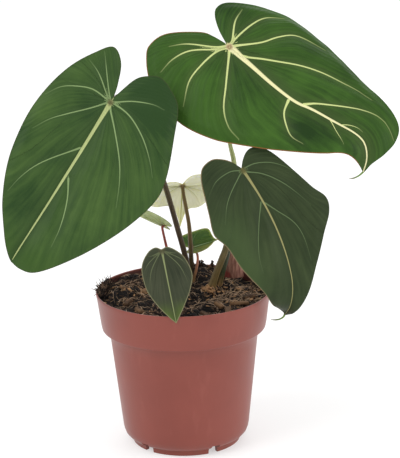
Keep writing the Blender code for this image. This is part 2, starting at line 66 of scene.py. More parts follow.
# Each leaf as the frame has it, in millimetres and degrees. The midrib leaves the joint along
# heading and dip, and roll turns the blade about it. Each half lifts by fold and bends back by
# bend. arch and lobe droop the blade before and behind the joint, curl and hook turn its tip down
# and sideways from curl_from on, and sway bends the midrib. The flat shape is (across, along)
# points for each half. veins fan out from the joint, side_veins and small_veins leave the midrib.
LEAVES = {
    "left": {
        "joint": (-45, -15, 244), "heading": -146, "dip": 51, "roll": -54,
        "length": 126, "fold": (28, 14), "bend": (14, 7), "arch": 8, "lobe": -10,
        "curl_from": 0.8, "curl": 35, "sway": (3, 0), "hook": 0,
        "far_half": [(0, -4), (2, -13), (8, -26), (18, -32), (27, -22), (37, -4), (43, 20),
                     (43, 45), (38, 70), (27, 94), (14, 111), (4, 122), (0, 126)],
        "near_half": [(0, -4), (-6, -21), (-13, -28), (-21, -31), (-31, -27), (-41, -19), (-49, 0),
                      (-58, 24), (-60, 40), (-54, 62), (-44, 84), (-32, 104), (-18, 121),
                      (-8, 126), (0, 126)],
        "stalk": [(3, 26, 100), (3, 24, 118), (-2, 20, 142), (-14, 12, 190), (-28, 9, 226),
                  (-39, 6, 243)],
        "stalk_radius": (2.1, 1.5),
        "veins": [[(2.5, 2), (10, 10.5), (22, 22.7), (29.7, 31.5), (35.6, 42)],
                  [(4.8, -0.5), (15.8, -0.7), (26.4, 3.6), (34.6, 9.3), (40.6, 18.5)],
                  [(4.3, -2.4), (17, -11.6), (27.4, -16)],
                  [(3.8, -4.2), (12.4, -14.5), (21.6, -26)],
                  [(-2.7, -1.6), (-13, -8), (-25.4, -12.5), (-33.4, -13)],
                  [(-3.5, -0.4), (-16, 1.8), (-30, 9.4), (-41.5, 19.3), (-49.7, 28.7)],
                  [(-2.2, 4), (-12, 14.7), (-25, 30), (-33, 42.7), (-40, 58)]],
        "side_veins": [[(1.7, 36.6), (15, 52.8), (22, 64), (26, 75.4), (27.7, 86)],
                       [(-2.4, 57.7), (-9.8, 70.8), (-15.5, 87.5), (-17.7, 101.6)]],
    },
    "top": {
        "joint": (35, 20, 273), "heading": -35, "dip": 33, "roll": 38,
        "length": 132, "fold": (8, 6), "bend": (8, 12), "arch": 8, "lobe": -15,
        "curl_from": 0.74, "curl": 62, "sway": (-2, -24), "hook": 88,
        "far_half": [(0, -3), (2, -13), (5, -21), (15, -31), (25, -38), (35, -40), (43, -37),
                     (55, -22), (62, 0), (63, 18), (57, 38), (49, 52), (41, 65), (32, 79),
                     (24, 91), (16, 103), (10, 113), (5, 123), (0, 133)],
        "near_half": [(0, -3), (-4, -14), (-10, -24), (-16, -28), (-24, -26), (-37, -14),
                      (-48, 3), (-53.5, 20), (-54.5, 36), (-52.5, 56), (-48, 77),
                      (-42.5, 97), (-38, 107), (-33, 115), (-25, 119), (-15, 122), (-5, 126),
                      (0, 133)],
        "stalk": [(23, 16.5, 100), (27, 17, 115), (30, 18, 125), (33, 20, 137), (38, 25, 165),
                  (37, 28, 190), (34, 29, 207), (33, 31, 240), (34, 32, 262)],
        "stalk_radius": (2.8, 1.1),
        "midrib": [(0, 0), (0, 20), (0.4, 56), (-2.6, 73), (-3.8, 88), (-4.6, 104), (-5, 112),
                   (-3.2, 119), (-0.6, 128), (0, 132)],
        "veins": [[(8, -4.7), (21.5, -16), (34.4, -19.8), (46, -19)],
                  [(9.4, -3.2), (24.6, -2.7), (38.4, 0), (53, 9.3)],
                  [(5, 4.7), (22.8, 19.2), (36.6, 30), (44, 40.4), (46, 50)],
                  [(8.2, -7.7), (19.4, -21.3), (29, -28)],
                  [(-5, -2), (-16.5, -11), (-26.8, -14.7)],
                  [(-4.6, -1), (-22, -1.9), (-35, 0.3), (-45.7, 8.6)],
                  [(-3, 2.4), (-17.7, 12.8), (-29.8, 17.4), (-39.8, 23), (-44.6, 32), (-47.8, 48)],
                  [(-1.6, 12), (-11, 25.6), (-24, 46), (-31, 65), (-34, 88), (-32.6, 101.6)]],
        "side_veins": [[(-1.9, 66), (-7.5, 72), (-13.5, 82), (-18.5, 92), (-22, 101),
                        (-25.5, 110), (-24, 118)],
                       [(2.4, 56.4), (11.7, 60), (18.6, 67), (23, 74), (23, 82)]],
        "small_veins": [[(-3.4, 87), (0.5, 93.5), (4.5, 99.5), (7.5, 104)],
                        [(-4.4, 95), (-7, 99), (-8.5, 104), (-8.5, 108)]],
    },
    "right": {
        "joint": (42, -25, 198), "heading": -17, "dip": 54, "roll": 63,
        "length": 100, "fold": (12, 12), "bend": (8, 8), "arch": 6, "lobe": 0,
        "curl_from": 0.75, "curl": 41, "sway": (19, 15), "hook": 14,
        "far_half": [(0, -2), (3, -9), (7, -14), (13, -18), (21, -17.5), (26, -13), (30.5, -4),
                     (36, 12), (40, 28), (36, 42), (31, 66), (17, 94), (10, 106), (3, 115),
                     (-2, 121)],
        "near_half": [(0, -2), (-4, -6), (-9, -9), (-14, -9), (-19, -5), (-23, 2), (-28.5, 18),
                      (-33.5, 31), (-39, 40), (-37, 48), (-28, 59), (-17, 76), (-10, 91),
                      (-6, 103), (-4, 112), (-2, 121)],
        "midrib": [(0, 0), (0, 60), (0, 90), (-0.6, 106), (-1.8, 120)],
        "stalk": [(18, 13, 100), (23, 12, 115), (27, 11.5, 125), (31, 11, 137), (37, 5, 170),
                  (42, -10, 192)],
        "stalk_radius": (2.8, 1.3),
        "veins": [[(1.3, -0.8), (8, -4.4), (19, -4.6), (27.8, -0.4)],
                  [(3.6, 1.2), (15.6, 7.8), (23.4, 14.7), (30, 25)],
                  [(-2.5, -0.6), (-9.4, 0.8), (-17.7, 5.6), (-24.4, 12.5), (-28.8, 20)],
                  [(-1.6, 2.2), (-9.5, 9), (-16.5, 18.6), (-21.6, 28), (-27, 40)]],
        "side_veins": [[(-0.5, 25.8), (-5.3, 34.4), (-12, 45), (-14.7, 55), (-15, 71.5)],
                       [(1.6, 24.6), (9, 35.4), (15, 47.7), (18.4, 59.7), (18.7, 71)]],
    },
    "front": {
        "joint": (-13, -50, 151), "heading": -59, "dip": 71, "roll": 34,
        "length": 50, "fold": (10, 10), "bend": (20, 20), "arch": 6, "lobe": 0,
        "curl_from": 0.8, "curl": 0, "sway": (0, 0), "hook": 0,
        "far_half": [(0, -1), (4, -3), (9, -1), (14, 5), (16, 12), (15, 24), (10, 35), (4, 44),
                     (0, 49)],
        "near_half": [(0, -1), (-4, -2), (-9, 1), (-14, 7), (-17, 18), (-14, 28), (-8, 38),
                      (-3, 45), (0, 49)],
        "stalk": [(-2, 3, 100), (-5, -4, 118), (-9, -18, 135), (-12, -36, 147)],
        "stalk_radius": (1.4, 0.8),
    },
    "back": {
        "joint": (1, 37, 172), "heading": 111, "dip": 77, "roll": 20,
        "length": 36, "fold": (10, 10), "bend": (20, 20), "arch": 15, "lobe": 40,
        "curl_from": 0.8, "curl": 0, "sway": (0, 0), "hook": 0,
        "far_half": [(0, -1), (4, -6), (9, -8.5), (15, -8), (20, -2), (21, 5), (17, 12), (12, 16),
                     (6, 17.5), (3.5, 20), (1.5, 25.5), (0, 31)],
        "near_half": [(0, -1), (-4, -1.8), (-10, -1.2), (-16, 1.5), (-22, 7), (-24.5, 12),
                      (-22, 16), (-17, 17.5), (-11, 16), (-6.5, 15.5), (-3.8, 20),
                      (-1.6, 25.5), (0, 31)],
        "stalk": [(5, 31.5, 100), (6, 30, 112), (5.8, 29.5, 125), (5, 30, 145), (2, 33, 164)],
        "stalk_radius": (2.0, 1.1),
    },
    "side": {
        "joint": (-12, -2, 155), "heading": 171, "dip": -29, "roll": 29,
        "length": 42, "fold": (6, 6), "bend": (8, 8), "arch": 12, "lobe": 0,
        "curl_from": 0.8, "curl": 0, "sway": (0, 0), "hook": 0,
        "far_half": [(0, -1), (3, -4), (8, -5), (14, 0), (17, 9), (15, 20), (10, 31), (4, 40),
                     (0, 46)],
        "near_half": [(0, -1), (-3, -4), (-8, -5), (-14, 0), (-17, 9), (-15, 20), (-10, 31),
                      (-4, 40), (0, 46)],
        "stalk": [(-4, 12, 100), (-7.5, 6, 120), (-10.6, 1, 138), (-12.2, -1.5, 147)],
        "stalk_radius": (1.3, 0.8),
    },
    "young": {
        "joint": (6, 46, 124), "heading": 11, "dip": -14, "roll": 40,
        "length": 20, "fold": (30, 20), "bend": (12, 12), "arch": 5, "lobe": 0,
        "curl_from": 0.8, "curl": 0, "sway": (0, 0), "hook": 0,
        "far_half": [(0, -1), (3, -4), (6, -3.5), (8, 0), (8.5, 5), (7, 10), (4, 14), (1, 17),
                     (0, 20)],
        "near_half": [(0, -1), (-3, -5), (-7, -6.5), (-10, -4), (-10.8, 1), (-11, 7), (-11, 12.5),
                      (-9.5, 16), (-5, 17), (-2, 17.8), (0, 20)],
        "stalk": [(6.5, 24, 100), (7.4, 25, 107), (9.2, 28, 113), (10.5, 36, 118),
                  (10, 43, 120.5), (8, 46.5, 121.8)],
        "stalk_radius": (1.1, 0.8),
    },
}
# How far under the joint the stalk's last points lie, as shares of the leaf's length
STALK_APPROACH = (0.042, 0.02, 0.008, 0)
# How much a stalk thins in its upper part and how much its foot is flared, as shares
STALK_THINNING = {"top": 0.42}
STALK_FLARES = {"right": 0.34}
PLAIN_FLARE = 0.14

# Each blade's finish: rib and vein are widths at the joint, quilt the rise between veins, waves the
# height of the margin's waves and crease the depth of the fold beside a rib, all in millimetres.
# strand is how strongly the tissue is streaked, and one_margin keeps the coloured rim to the far
# half. Colours are display values from 0 to 255.
BLADE_LOOKS = {
    "left": {"rib": 2.2, "vein": 0.95, "strand": 0.42, "quilt": 1.5, "waves": 0.5, "crease": 0.35,
             "deep": (40, 64, 31), "bright": (69, 94, 46), "blush": (54, 82, 31),
             "vein_colour": (128, 150, 100), "rib_colour": (182, 192, 132),
             "under": (112, 138, 88), "margin_colour": (60, 66, 40), "hub": (84, 76, 50)},
    "top": {"rib": 3.0, "vein": 1.35, "quilt": 2.0, "waves": 0.6, "crease": 0.6,
            "deep": (31, 54, 21), "bright": (60, 93, 34), "blush": (54, 86, 27),
            "vein_colour": (196, 206, 138), "rib_colour": (226, 222, 172),
            "under": (120, 148, 92), "margin_colour": (158, 84, 52), "hub": (150, 112, 80),
            "one_margin": True},
    "right": {"rib": 1.25, "vein": 0.7, "quilt": 1.2, "waves": 0.4, "crease": 0.3,
              "deep": (38, 49, 29), "bright": (59, 71, 44), "blush": (62, 79, 46),
              "vein_colour": (92, 110, 74), "rib_colour": (148, 144, 96),
              "under": (104, 124, 84), "margin_colour": (150, 128, 98), "hub": (90, 88, 50),
              "one_margin": True},
    "front": {"rib": 1.1, "vein": 0.6, "quilt": 0.4, "waves": 0.3, "crease": 0.15,
              "deep": (44, 50, 36), "bright": (70, 74, 56), "blush": (90, 112, 44),
              "vein_colour": (96, 104, 74), "rib_colour": (130, 138, 96),
              "under": (120, 128, 96), "margin_colour": (138, 134, 100), "hub": (80, 76, 56)},
    # The back blade's underside colour is partly its own pale colour, partly painted light lifted
    # nearly to white for the light that shines through it
    "back": {"rib": 0.9, "vein": 0.5, "quilt": 0.35, "waves": 0.6, "crease": 0.1,
             "deep": (60, 88, 48), "bright": (86, 112, 60), "blush": (150, 158, 52),
             "vein_colour": (206, 204, 176), "rib_colour": (196, 196, 140),
             "under": (240, 236, 226), "margin_colour": (196, 188, 150), "hub": (120, 90, 60)},
    "side": {"rib": 0.9, "vein": 0.5, "quilt": 0.3, "waves": 0.3, "crease": 0.1,
             "deep": (60, 80, 46), "bright": (90, 110, 70), "blush": (150, 166, 110),
             "vein_colour": (150, 160, 112), "rib_colour": (160, 168, 120),
             "under": (186, 196, 152), "margin_colour": (66, 62, 40), "hub": (110, 70, 60)},
    "young": {"rib": 0.7, "vein": 0.35, "quilt": 0.2, "waves": 0.2, "crease": 0.1,
              "deep": (42, 70, 42), "bright": (76, 108, 64), "blush": (124, 126, 64),
              "vein_colour": (110, 136, 90), "rib_colour": (158, 174, 134),
              "under": (138, 158, 92), "margin_colour": (128, 116, 72), "hub": (120, 80, 50)},
}
# Darker and lighter patches of each blade, partly painted light and shade and partly the tissue's own
# uneven tone: (across, along, spread, strength)
LIGHT_AND_SHADE_PATCHES = {
    "left": [(-26, -16, 19, -1.0), (-42, 6, 14, -0.35), (36, 26, 12, 0.3), (-30, 62, 22, 0.15),
             (-14, 112, 20, 0.1), (16, 88, 12, -0.45), (12, 50, 9, -0.35), (12, 14, 11, -0.4),
             (14, -16, 12, -0.15), (42, 48, 9, -0.3)],
    "top": [(15, 78, 12, -0.5), (6, 94, 9, -0.3), (38, 14, 20, 0.3), (26, -22, 18, 0.2),
            (-20, 20, 12, 0.2), (-46, 40, 12, -0.5), (-42, 74, 11, -0.5), (-20, -22, 10, -0.35),
            (-14, 52, 13, 0.3), (-24, 84, 12, 0.25), (32, 60, 14, 0.3), (18, 104, 10, 0.4),
            (8, 22, 12, -0.25)],
    "right": [(24, -10, 14, -0.4), (-20, 14, 12, 0.15), (20, 66, 18, 0.4), (-24, 60, 14, -0.2)],
    "front": [(-8, 14, 9, -0.25), (9, 22, 9, 0.15)],
}
# Each stalk's colours at its foot and at its top. The top leaf's stalk is pale at its top, partly its
# own colour and partly painted light where the blade above shades it.
STALK_COLOURS = {
    "left": ((80, 64, 46), (112, 92, 70)), "top": ((52, 62, 30), (206, 212, 148)),
    "right": ((122, 104, 64), (104, 106, 60)), "front": ((92, 60, 44), (110, 80, 56)),
    "back": ((60, 50, 28), (122, 98, 52)), "side": ((104, 50, 38), (168, 82, 70)),
    "young": ((142, 104, 60), (176, 96, 66)),
}
SCAR_COLOUR = (168, 124, 78)


def paint(colour):
    """Linear colour from display values of 0 to 255."""
    parts = [c / 255 for c in colour]
    return tuple(c / 12.92 if c <= 0.04045 else ((c + 0.055) / 1.055) ** 2.4 for c in parts)


# Curves and fields -----------------------------------------------------------------------------

# Points worked out between one given point of a curve and the next
SPAN_STEPS = 12


def curve_through(points, count, crowding=1.0):
    """count points on a smooth curve through the given ones, crowded towards its end."""
    pts = np.array(points, float)
    ends = np.vstack([2 * pts[0] - pts[1], pts, 2 * pts[-1] - pts[-2]])
    dense = []
    for before, start, stop, after in zip(ends, ends[1:], ends[2:], ends[3:]):
        for t in np.linspace(0, 1, SPAN_STEPS, endpoint=False):
            slope = (stop - before) * t
            square = (2 * before - 5 * start + 4 * stop - after) * t ** 2
            cube = (3 * start - before - 3 * stop + after) * t ** 3
            dense.append(0.5 * (2 * start + slope + square + cube))
    dense.append(pts[-1])
    dense = np.array(dense)
    steps = np.linalg.norm(np.diff(dense, axis=0), axis=1)
    travelled = np.concatenate([[0.0], np.cumsum(steps)])
    wanted = travelled[-1] * (1 - (1 - np.linspace(0, 1, count)) ** crowding)
    return np.stack([np.interp(wanted, travelled, axis) for axis in dense.T], axis=1)


def smooth_step(low, high, value):
    """0 at low, 1 at high, and level at both."""
    t = np.clip((value - low) / (high - low), 0, 1)
    return t * t * (3 - 2 * t)


def near_route(points, route):
    """Each point's distance to a flat route, its share of the way along it, and its side."""
    best = np.full(len(points), 1e9)
    share = np.zeros(len(points))
    side = np.zeros(len(points))
    steps = np.linalg.norm(np.diff(route, axis=0), axis=1)
    travelled = np.concatenate([[0.0], np.cumsum(steps)])
    for start, stop, step, before in zip(route, route[1:], steps, travelled):
        way = stop - start
        offset = points - start
        t = np.clip(offset @ way / step ** 2, 0, 1)
        gap = np.hypot(*(offset - t[:, None] * way).T)
        closer = gap < best
        best = np.where(closer, gap, best)
        share = np.where(closer, (before + t * step) / travelled[-1], share)
        side = np.where(closer, way[0] * offset[:, 1] - way[1] * offset[:, 0], side)
    return best, share, np.sign(side)


# Meshes and pieces -----------------------------------------------------------------------------

def mesh_of(name, points, faces, smooth=True):
    """A mesh from points in millimetres."""
    mesh = bpy.data.meshes.new(name)
    mesh.from_pydata((np.asarray(points) * MM).tolist(), [], faces)
    if smooth:
        mesh.polygons.foreach_set("use_smooth", np.ones(len(mesh.polygons), bool))
    return mesh


def give_values(mesh, name, values):
    """Stores a number at each point, for the finish to read."""
    layer = mesh.attributes.new(name, "FLOAT", "POINT")
    layer.data.foreach_set("value", np.asarray(values).astype(np.float32))


def give_vectors(mesh, name, columns):
    """Stores three numbers at each point, for the finish to read."""
    layer = mesh.attributes.new(name, "FLOAT_VECTOR", "POINT")
    layer.data.foreach_set("vector", np.column_stack(columns).astype(np.float32).ravel())


def place(mesh, node):
    """Puts a finished piece on the body in the place of its CAD node."""
    obj = bpy.data.objects.new("fine_" + node, mesh)
    bpy.context.scene.collection.objects.link(obj)
    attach(obj, "root")
    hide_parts(node)
    return obj


# Blades ----------------------------------------------------------------------------------------

# The bent midrib is worked out from this far behind the joint to this share of the leaf's length
RUN_BEHIND = 60
RUN_AHEAD = 1.3
RUN_STEPS = 440
CURL_LIMIT = 1.4
# How finely half an outline is followed, and where its shoulder ends along the margin
OUTLINE_STEPS = 900
SINUS_STEPS = 40
SHOULDER_SHARE = 0.24
MARGIN_STRIDE = 4
# Small blades get a finer grid
SMALL_LENGTH = 60
SMALL_STEP_SHARE = 0.6


def leaf_axes(leaf):
    """Unit vectors along the midrib, across the blade and out of its upper face."""
    heading, dip, roll = (radians(leaf[key]) for key in ("heading", "dip", "roll"))
    along = np.array([cos(dip) * cos(heading), cos(dip) * sin(heading), -sin(dip)])
    level = np.array([sin(dip) * cos(heading), sin(dip) * sin(heading), cos(dip)])
    upper = cos(roll) * level + sin(roll) * np.cross(along, level)
    return along, np.cross(along, upper), upper


def blade_points(leaf, across, along):
    """Places of flat blade points, in millimetres, on the folded, arched and curled blade."""
    length = leaf["length"]
    run = np.linspace(-RUN_BEHIND, length * RUN_AHEAD, RUN_STEPS)
    part = run / length
    ahead = np.clip(part, 0, None)
    last = np.clip((part - leaf["curl_from"]) / (1 - leaf["curl_from"]), 0, CURL_LIMIT) ** 1.5
    fall = leaf["arch"] * ahead + leaf["lobe"] * np.clip(-part, 0, None) + leaf["curl"] * last
    fall = np.radians(fall)
    turn = leaf["sway"][0] * ahead + leaf["sway"][1] * ahead ** 2 + leaf["hook"] * last
    turn = np.radians(turn)
    heads = np.stack([np.cos(fall) * np.cos(turn), np.cos(fall) * np.sin(turn), -np.sin(fall)], 1)
    steps = (heads[1:] + heads[:-1]) / 2 * np.diff(run)[:, None]
    rib = np.concatenate([np.zeros((1, 3)), np.cumsum(steps, axis=0)])
    rib -= [np.interp(0, run, axis) for axis in rib.T]
    here = np.stack([np.interp(along, run, axis) for axis in rib.T], axis=-1)
    fall_here = np.interp(along, run, fall)
    turn_here = np.interp(along, run, turn)
    sideways = np.stack([-np.sin(turn_here), np.cos(turn_here), 0 * turn_here], axis=-1)
    ahead_here = np.stack([np.cos(fall_here) * np.cos(turn_here),
                           np.cos(fall_here) * np.sin(turn_here), -np.sin(fall_here)], axis=-1)
    upward = np.cross(ahead_here, sideways)
    far = across >= 0
    fold = np.radians(np.where(far, leaf["fold"][0], leaf["fold"][1]))
    bend = np.where(far, leaf["bend"][0], leaf["bend"][1]) / 1000
    reach = np.abs(across)
    level = np.sign(across) * (np.sin(fold) - np.sin(fold - bend * reach)) / bend
    rise = (np.cos(fold - bend * reach) - np.cos(fold)) / bend
    local = here + sideways * level[..., None] + upward * rise[..., None]
    return np.array(leaf["joint"]) + local @ np.stack(leaf_axes(leaf))


def half_grid(outline, sinus_rows, midrib_rows, columns):
    """Rows of flat points over half a blade, from its sinus edge and midrib out to its margin."""
    edge = curve_through(outline, OUTLINE_STEPS)
    lobe = int(np.argmin(edge[:, 1]))
    sinus, margin = edge[:lobe + 1][::-1], edge[lobe:]
    centre = np.array([edge[0], edge[-1]])
    stride = max(1, len(sinus) // SINUS_STEPS)
    inner = np.vstack([curve_through(sinus[::stride], sinus_rows + 1),
                       curve_through(centre, midrib_rows + 1)[1:]])
    shoulder = int(len(margin) * SHOULDER_SHARE)
    first, rest = margin[:shoulder + 1:MARGIN_STRIDE], margin[shoulder::MARGIN_STRIDE]
    if not np.allclose(first[-1], margin[shoulder]):
        first = np.vstack([first, margin[shoulder]])
    if not np.allclose(rest[-1], margin[-1]):
        rest = np.vstack([rest, margin[-1]])
    outer = np.vstack([curve_through(first, sinus_rows + 1),
                       curve_through(rest, midrib_rows + 1)[1:]])
    inner[0] = outer[0] = edge[lobe]
    steps = np.linspace(0, 1, columns + 1)[None, :, None]
    return inner[:, None] * (1 - steps) + outer[:, None] * steps


def blade_grid(leaf):
    """(flat points, faces) of the whole blade, the halves joined along the midrib."""
    length = leaf["length"]
    widest = max(abs(u) for half in ("far_half", "near_half") for u, _ in leaf[half])
    step = BLADE_STEP if length > SMALL_LENGTH else BLADE_STEP * SMALL_STEP_SHARE
    deepest = -min(v for half in ("far_half", "near_half") for _, v in leaf[half])
    sinus_rows = max(8, int(deepest * 1.4 / step))
    midrib_rows = int(length / step)
    columns = int(widest / step)
    halves = [half_grid(leaf[half], sinus_rows, midrib_rows, columns)
              for half in ("far_half", "near_half")]
    rows = sinus_rows + midrib_rows + 1
    per_half = rows * (columns + 1)
    flat = np.concatenate([half.reshape(-1, 2) for half in halves])
    number = np.arange(2 * per_half).reshape(2, rows, columns + 1)
    number[1, sinus_rows:, 0] = number[0, sinus_rows:, 0]
    number[:, 0, :] = number[:, 0, :1]
    number[:, -1, :] = number[0, -1, 0]
    used, inverse = np.unique(number, return_inverse=True)
    number = inverse.reshape(number.shape)
    corners = np.stack([number[:, :-1, :-1], number[:, 1:, :-1],
                        number[:, 1:, 1:], number[:, :-1, 1:]], axis=-1)
    faces = []
    for half, quads in enumerate(corners.reshape(2, -1, 4).tolist()):
        for quad in quads:
            face = [c for i, c in enumerate(quad) if c != quad[i - 1]]
            if len(face) > 2:
                faces.append(face[::-1] if half else face)
    return flat[used], faces


# A point this many half widths from a rib counts as away from it
FAR_ACROSS = 6.0
# Where a small blade's ribs end along its margin
FAN_SHARES = (0.16, 0.36, 0.56)
# Width of a vein that leaves the midrib, as a share of one from the joint
SIDE_VEIN = 0.9
SMALL_VEIN = 0.4
# How finely ribs and the outline are followed
MIDRIB_POINTS = 40
VEIN_POINTS = 24
SIDE_VEIN_POINTS = 18
SMALL_VEIN_POINTS = 14
OUTLINE_POINTS = 160


def fan_veins(leaf):
    """Ribs from the joint for a small blade: three to each half, bowed towards the tip."""
    veins = []
    for half in ("far_half", "near_half"):
        edge = curve_through(leaf[half], 100)
        margin = edge[int(np.argmin(edge[:, 1])):]
        for share in FAN_SHARES:
            goal = margin[int(len(margin) * share)] * 0.9
            middle = np.array([goal[0] * 0.72, goal[1] * 0.42 + 0.03 * leaf["length"]])
            veins.append([(goal[0] * 0.06, 0.3), tuple(middle), tuple(goal)])
    return veins


def vein_fields(leaf, look, flat):
    """What the blade's shape and finish read at each flat point.

    rib is the midrib and vein the nearest other one. _cross is the place across it in half
    widths, with its sign, and _apart the same without its sign. near and gap tell how close a rib
    is, strand grows from rib to rib, margin is the distance to the outline, and edge the distance
    to the rim that is coloured.
    """
    count = len(flat)
    fields = {"near": np.zeros(count), "fade": np.ones(count)}
    for kind in ("vein", "rib"):
        fields[kind + "_cross"] = np.full(count, FAR_ACROSS)
        fields[kind + "_apart"] = np.full(count, FAR_ACROSS)
        fields[kind] = np.zeros(count)
    gap = np.full(count, 1e3)
    tip = leaf["far_half"][-1][1]
    midrib = curve_through(leaf.get("midrib", [(0, 0), (0, tip * 0.5), (0, tip * 0.985)]),
                           MIDRIB_POINTS)
    fan = [curve_through([(route[0][0] * 0.12, route[0][1] * 0.12), *route], VEIN_POINTS)
           for route in leaf.get("veins") or fan_veins(leaf)]
    side = [curve_through(route, SIDE_VEIN_POINTS) for route in leaf.get("side_veins", [])]
    small = [curve_through(route, SMALL_VEIN_POINTS) for route in leaf.get("small_veins", [])]
    # (route, width at the joint, how much of it is lost towards the end, kind)
    ribs = [(midrib, look["rib"], 0.8, "rib")]
    ribs += [(route, look["vein"], 0.5, "vein") for route in fan]
    ribs += [(route, look["vein"] * SIDE_VEIN, 0.55, "vein") for route in side]
    ribs += [(route, look["vein"] * SMALL_VEIN, 0.4, "vein") for route in small]
    for route, width, thinning, kind in ribs:
        away, share, facing = near_route(flat, route)
        half = width / 2 * (1 - thinning * share ** 0.8) * (1 + 0.45 * np.exp(-(share / 0.1) ** 2))
        fade = 1 - 0.8 * smooth_step(0.5, 1.0, share) * (kind == "vein")
        apart = np.minimum(away / half, FAR_ACROSS)
        closer = apart < fields[kind + "_apart"]
        fields[kind + "_apart"] = np.where(closer, apart, fields[kind + "_apart"])
        fields[kind + "_cross"] = np.where(closer, apart * facing, fields[kind + "_cross"])
        if kind == "vein":
            fields["fade"] = np.where(closer, fade, fields["fade"])
        core = smooth_step(half + 0.5, half - 0.25, away) * fade
        fields[kind] = np.maximum(fields[kind], core)
        # near says how close a rib is; the finish uses it to paint shade beside the ribs
        spread = 1.4 + 1.8 * width
        fields["near"] = np.maximum(fields["near"], np.exp(-(away / spread) ** 2) * fade)
        gap = np.minimum(gap, away + 6 * share ** 3 * (kind == "vein"))
    fields["gap"] = gap
    fields["strand"] = strand_field(fan, midrib, flat)
    outline = np.vstack([curve_through(leaf["far_half"], OUTLINE_POINTS),
                         curve_through(leaf["near_half"], OUTLINE_POINTS)[::-1]])
    fields["margin"] = near_route(flat, outline)[0]
    fields["edge"] = fields["margin"].copy()
    if look.get("one_margin"):
        fields["edge"] += 3 * smooth_step(5, -5, flat[:, 0])
    return fields


def from_sinus(route):
    """The angle of a rib's middle about the joint, counted from the sinus."""
    middle = route[len(route) // 2]
    return atan2(abs(middle[0]), -middle[1])


def strand_field(fan, midrib, flat):
    """A number that grows steadily from each rib to the next round the joint."""
    strand = np.zeros(len(flat))
    offset = 0.0
    for sign in (1, -1):
        own = [route for route in fan if route[len(route) // 2][0] * sign > 0]
        own.sort(key=from_sinus)
        own.append(midrib)
        longer = [np.vstack([route, route[-1] + (route[-1] - route[-3]) * 4]) for route in own]
        chosen = flat[:, 0] * sign >= 0
        part = flat[chosen]
        away = []
        for k, route in enumerate(longer):
            gap, _, side = near_route(part, route)
            away.append(gap)
            if k == 0:
                inward = near_route(own[1][10:11], route)[2][0]
                outside = side != inward
        away = np.array(away)
        first = np.argmin(away, axis=0)
        pick = np.arange(len(part))
        before = np.where(first > 0, away[np.maximum(first - 1, 0), pick], 1e9)
        last = len(own) - 1
        after = np.where(first < last, away[np.minimum(first + 1, last), pick], 1e9)
        other = np.where(before < after, first - 1, first + 1)
        near = away[first, pick]
        far = np.minimum(before, after)
        value = (first * far + other * near) / np.maximum(near + far, 1e-6)
        value = np.where((first == 0) & outside, -near / 14, value)
        if sign > 0:
            offset = float(last)
            strand[chosen] = value
        else:
            strand[chosen] = offset + last - value
    return strand


def blush_field(name, leaf, flat):
    """Where the blade turns to its second green: margins, tips or one half."""
    share = flat[:, 1] / leaf["length"]
    if name == "young":
        return smooth_step(0.5, 3.0, flat[:, 0])
    if name == "front":
        return smooth_step(0.62, 0.98, share)
    if name == "back":
        return smooth_step(0.3, 0.8, share)
    if name == "right":
        return smooth_step(8, 30, flat[:, 0]) * smooth_step(0.05, 0.35, share)
    if name == "left":
        return smooth_step(0.78, 1.0, share)
    return smooth_step(20, 60, np.abs(flat[:, 0])) * 0.8


def light_and_shade_field(name, flat):
    """How much darker or lighter each flat point is than the plain tissue: painted light and shade,
    mixed with uneven tone of its own.
    """
    shade = np.zeros(len(flat))
    for across, along, spread, strength in LIGHT_AND_SHADE_PATCHES.get(name, ()):
        off = ((flat[:, 0] - across) ** 2 + (flat[:, 1] - along) ** 2) / spread ** 2
        shade += strength * np.exp(-off)
    return shade


def edge_loop(faces):
    """The edges that only one face has, in that face's direction."""
    seen = dict.fromkeys(pair for face in faces for pair in zip(face, face[1:] + face[:1]))
    return [(a, b) for a, b in seen if (b, a) not in seen]


def sheet_normals(points, faces):
    """The unit normal of an open sheet at each of its points."""
    sheet = bpy.data.meshes.new("sheet")
    sheet.from_pydata(points.tolist(), [], faces)
    sheet.update()
    out = np.zeros(len(points) * 3, np.float32)
    sheet.vertices.foreach_get("normal", out)
    bpy.data.meshes.remove(sheet)
    return out.reshape(-1, 3).astype(float)


# The blade's relief, in millimetres: how far a pillow rises from its ribs, the ripples, and how
# deep the ribs are sunk above and how far they stand out below
QUILT_REACH = 7.5
RIPPLE_SIZE = 17
RIPPLE_HEIGHT = 0.35
WAVE_REACH = 9
CREASE_REACH = 1.5
VEIN_GROOVE = 0.18
RIB_GROOVE = 0.22
VEIN_RIDGE = 0.55
RIB_RIDGE = 0.95
# Thickness of the margin, as a share of the blade's
MARGIN_SHARE = 0.55


def blade_relief(name, look, fields, flat):
    """How far the upper and the lower face lie off the smooth blade at each flat point."""
    margin, gap = fields["margin"], fields["gap"]
    swell = look["quilt"] * (1 - np.exp(-(gap / QUILT_REACH) ** 2))
    ripple = np.array([noise.noise(Vector((u / RIPPLE_SIZE, v / RIPPLE_SIZE, len(name) * 3.1)))
                       for u, v in flat])
    edge_ripple = np.exp(-margin / WAVE_REACH) * look["waves"]
    swell = swell * smooth_step(0, 7, margin) + ripple * (RIPPLE_HEIGHT + edge_ripple)
    swell -= look["crease"] * np.exp(-(gap / CREASE_REACH) ** 2) * smooth_step(1, 5, margin)
    groove = VEIN_GROOVE * fields["vein"] + RIB_GROOVE * fields["rib"]
    ridge = VEIN_RIDGE * fields["vein"] + RIB_RIDGE * fields["rib"]
    taper = MARGIN_SHARE + (1 - MARGIN_SHARE) * smooth_step(0, 3, margin)
    above = swell - groove * smooth_step(0, 1, margin)
    below = swell - BLADE_THICKNESS * taper - ridge * smooth_step(0, 2, margin)
    return above, below


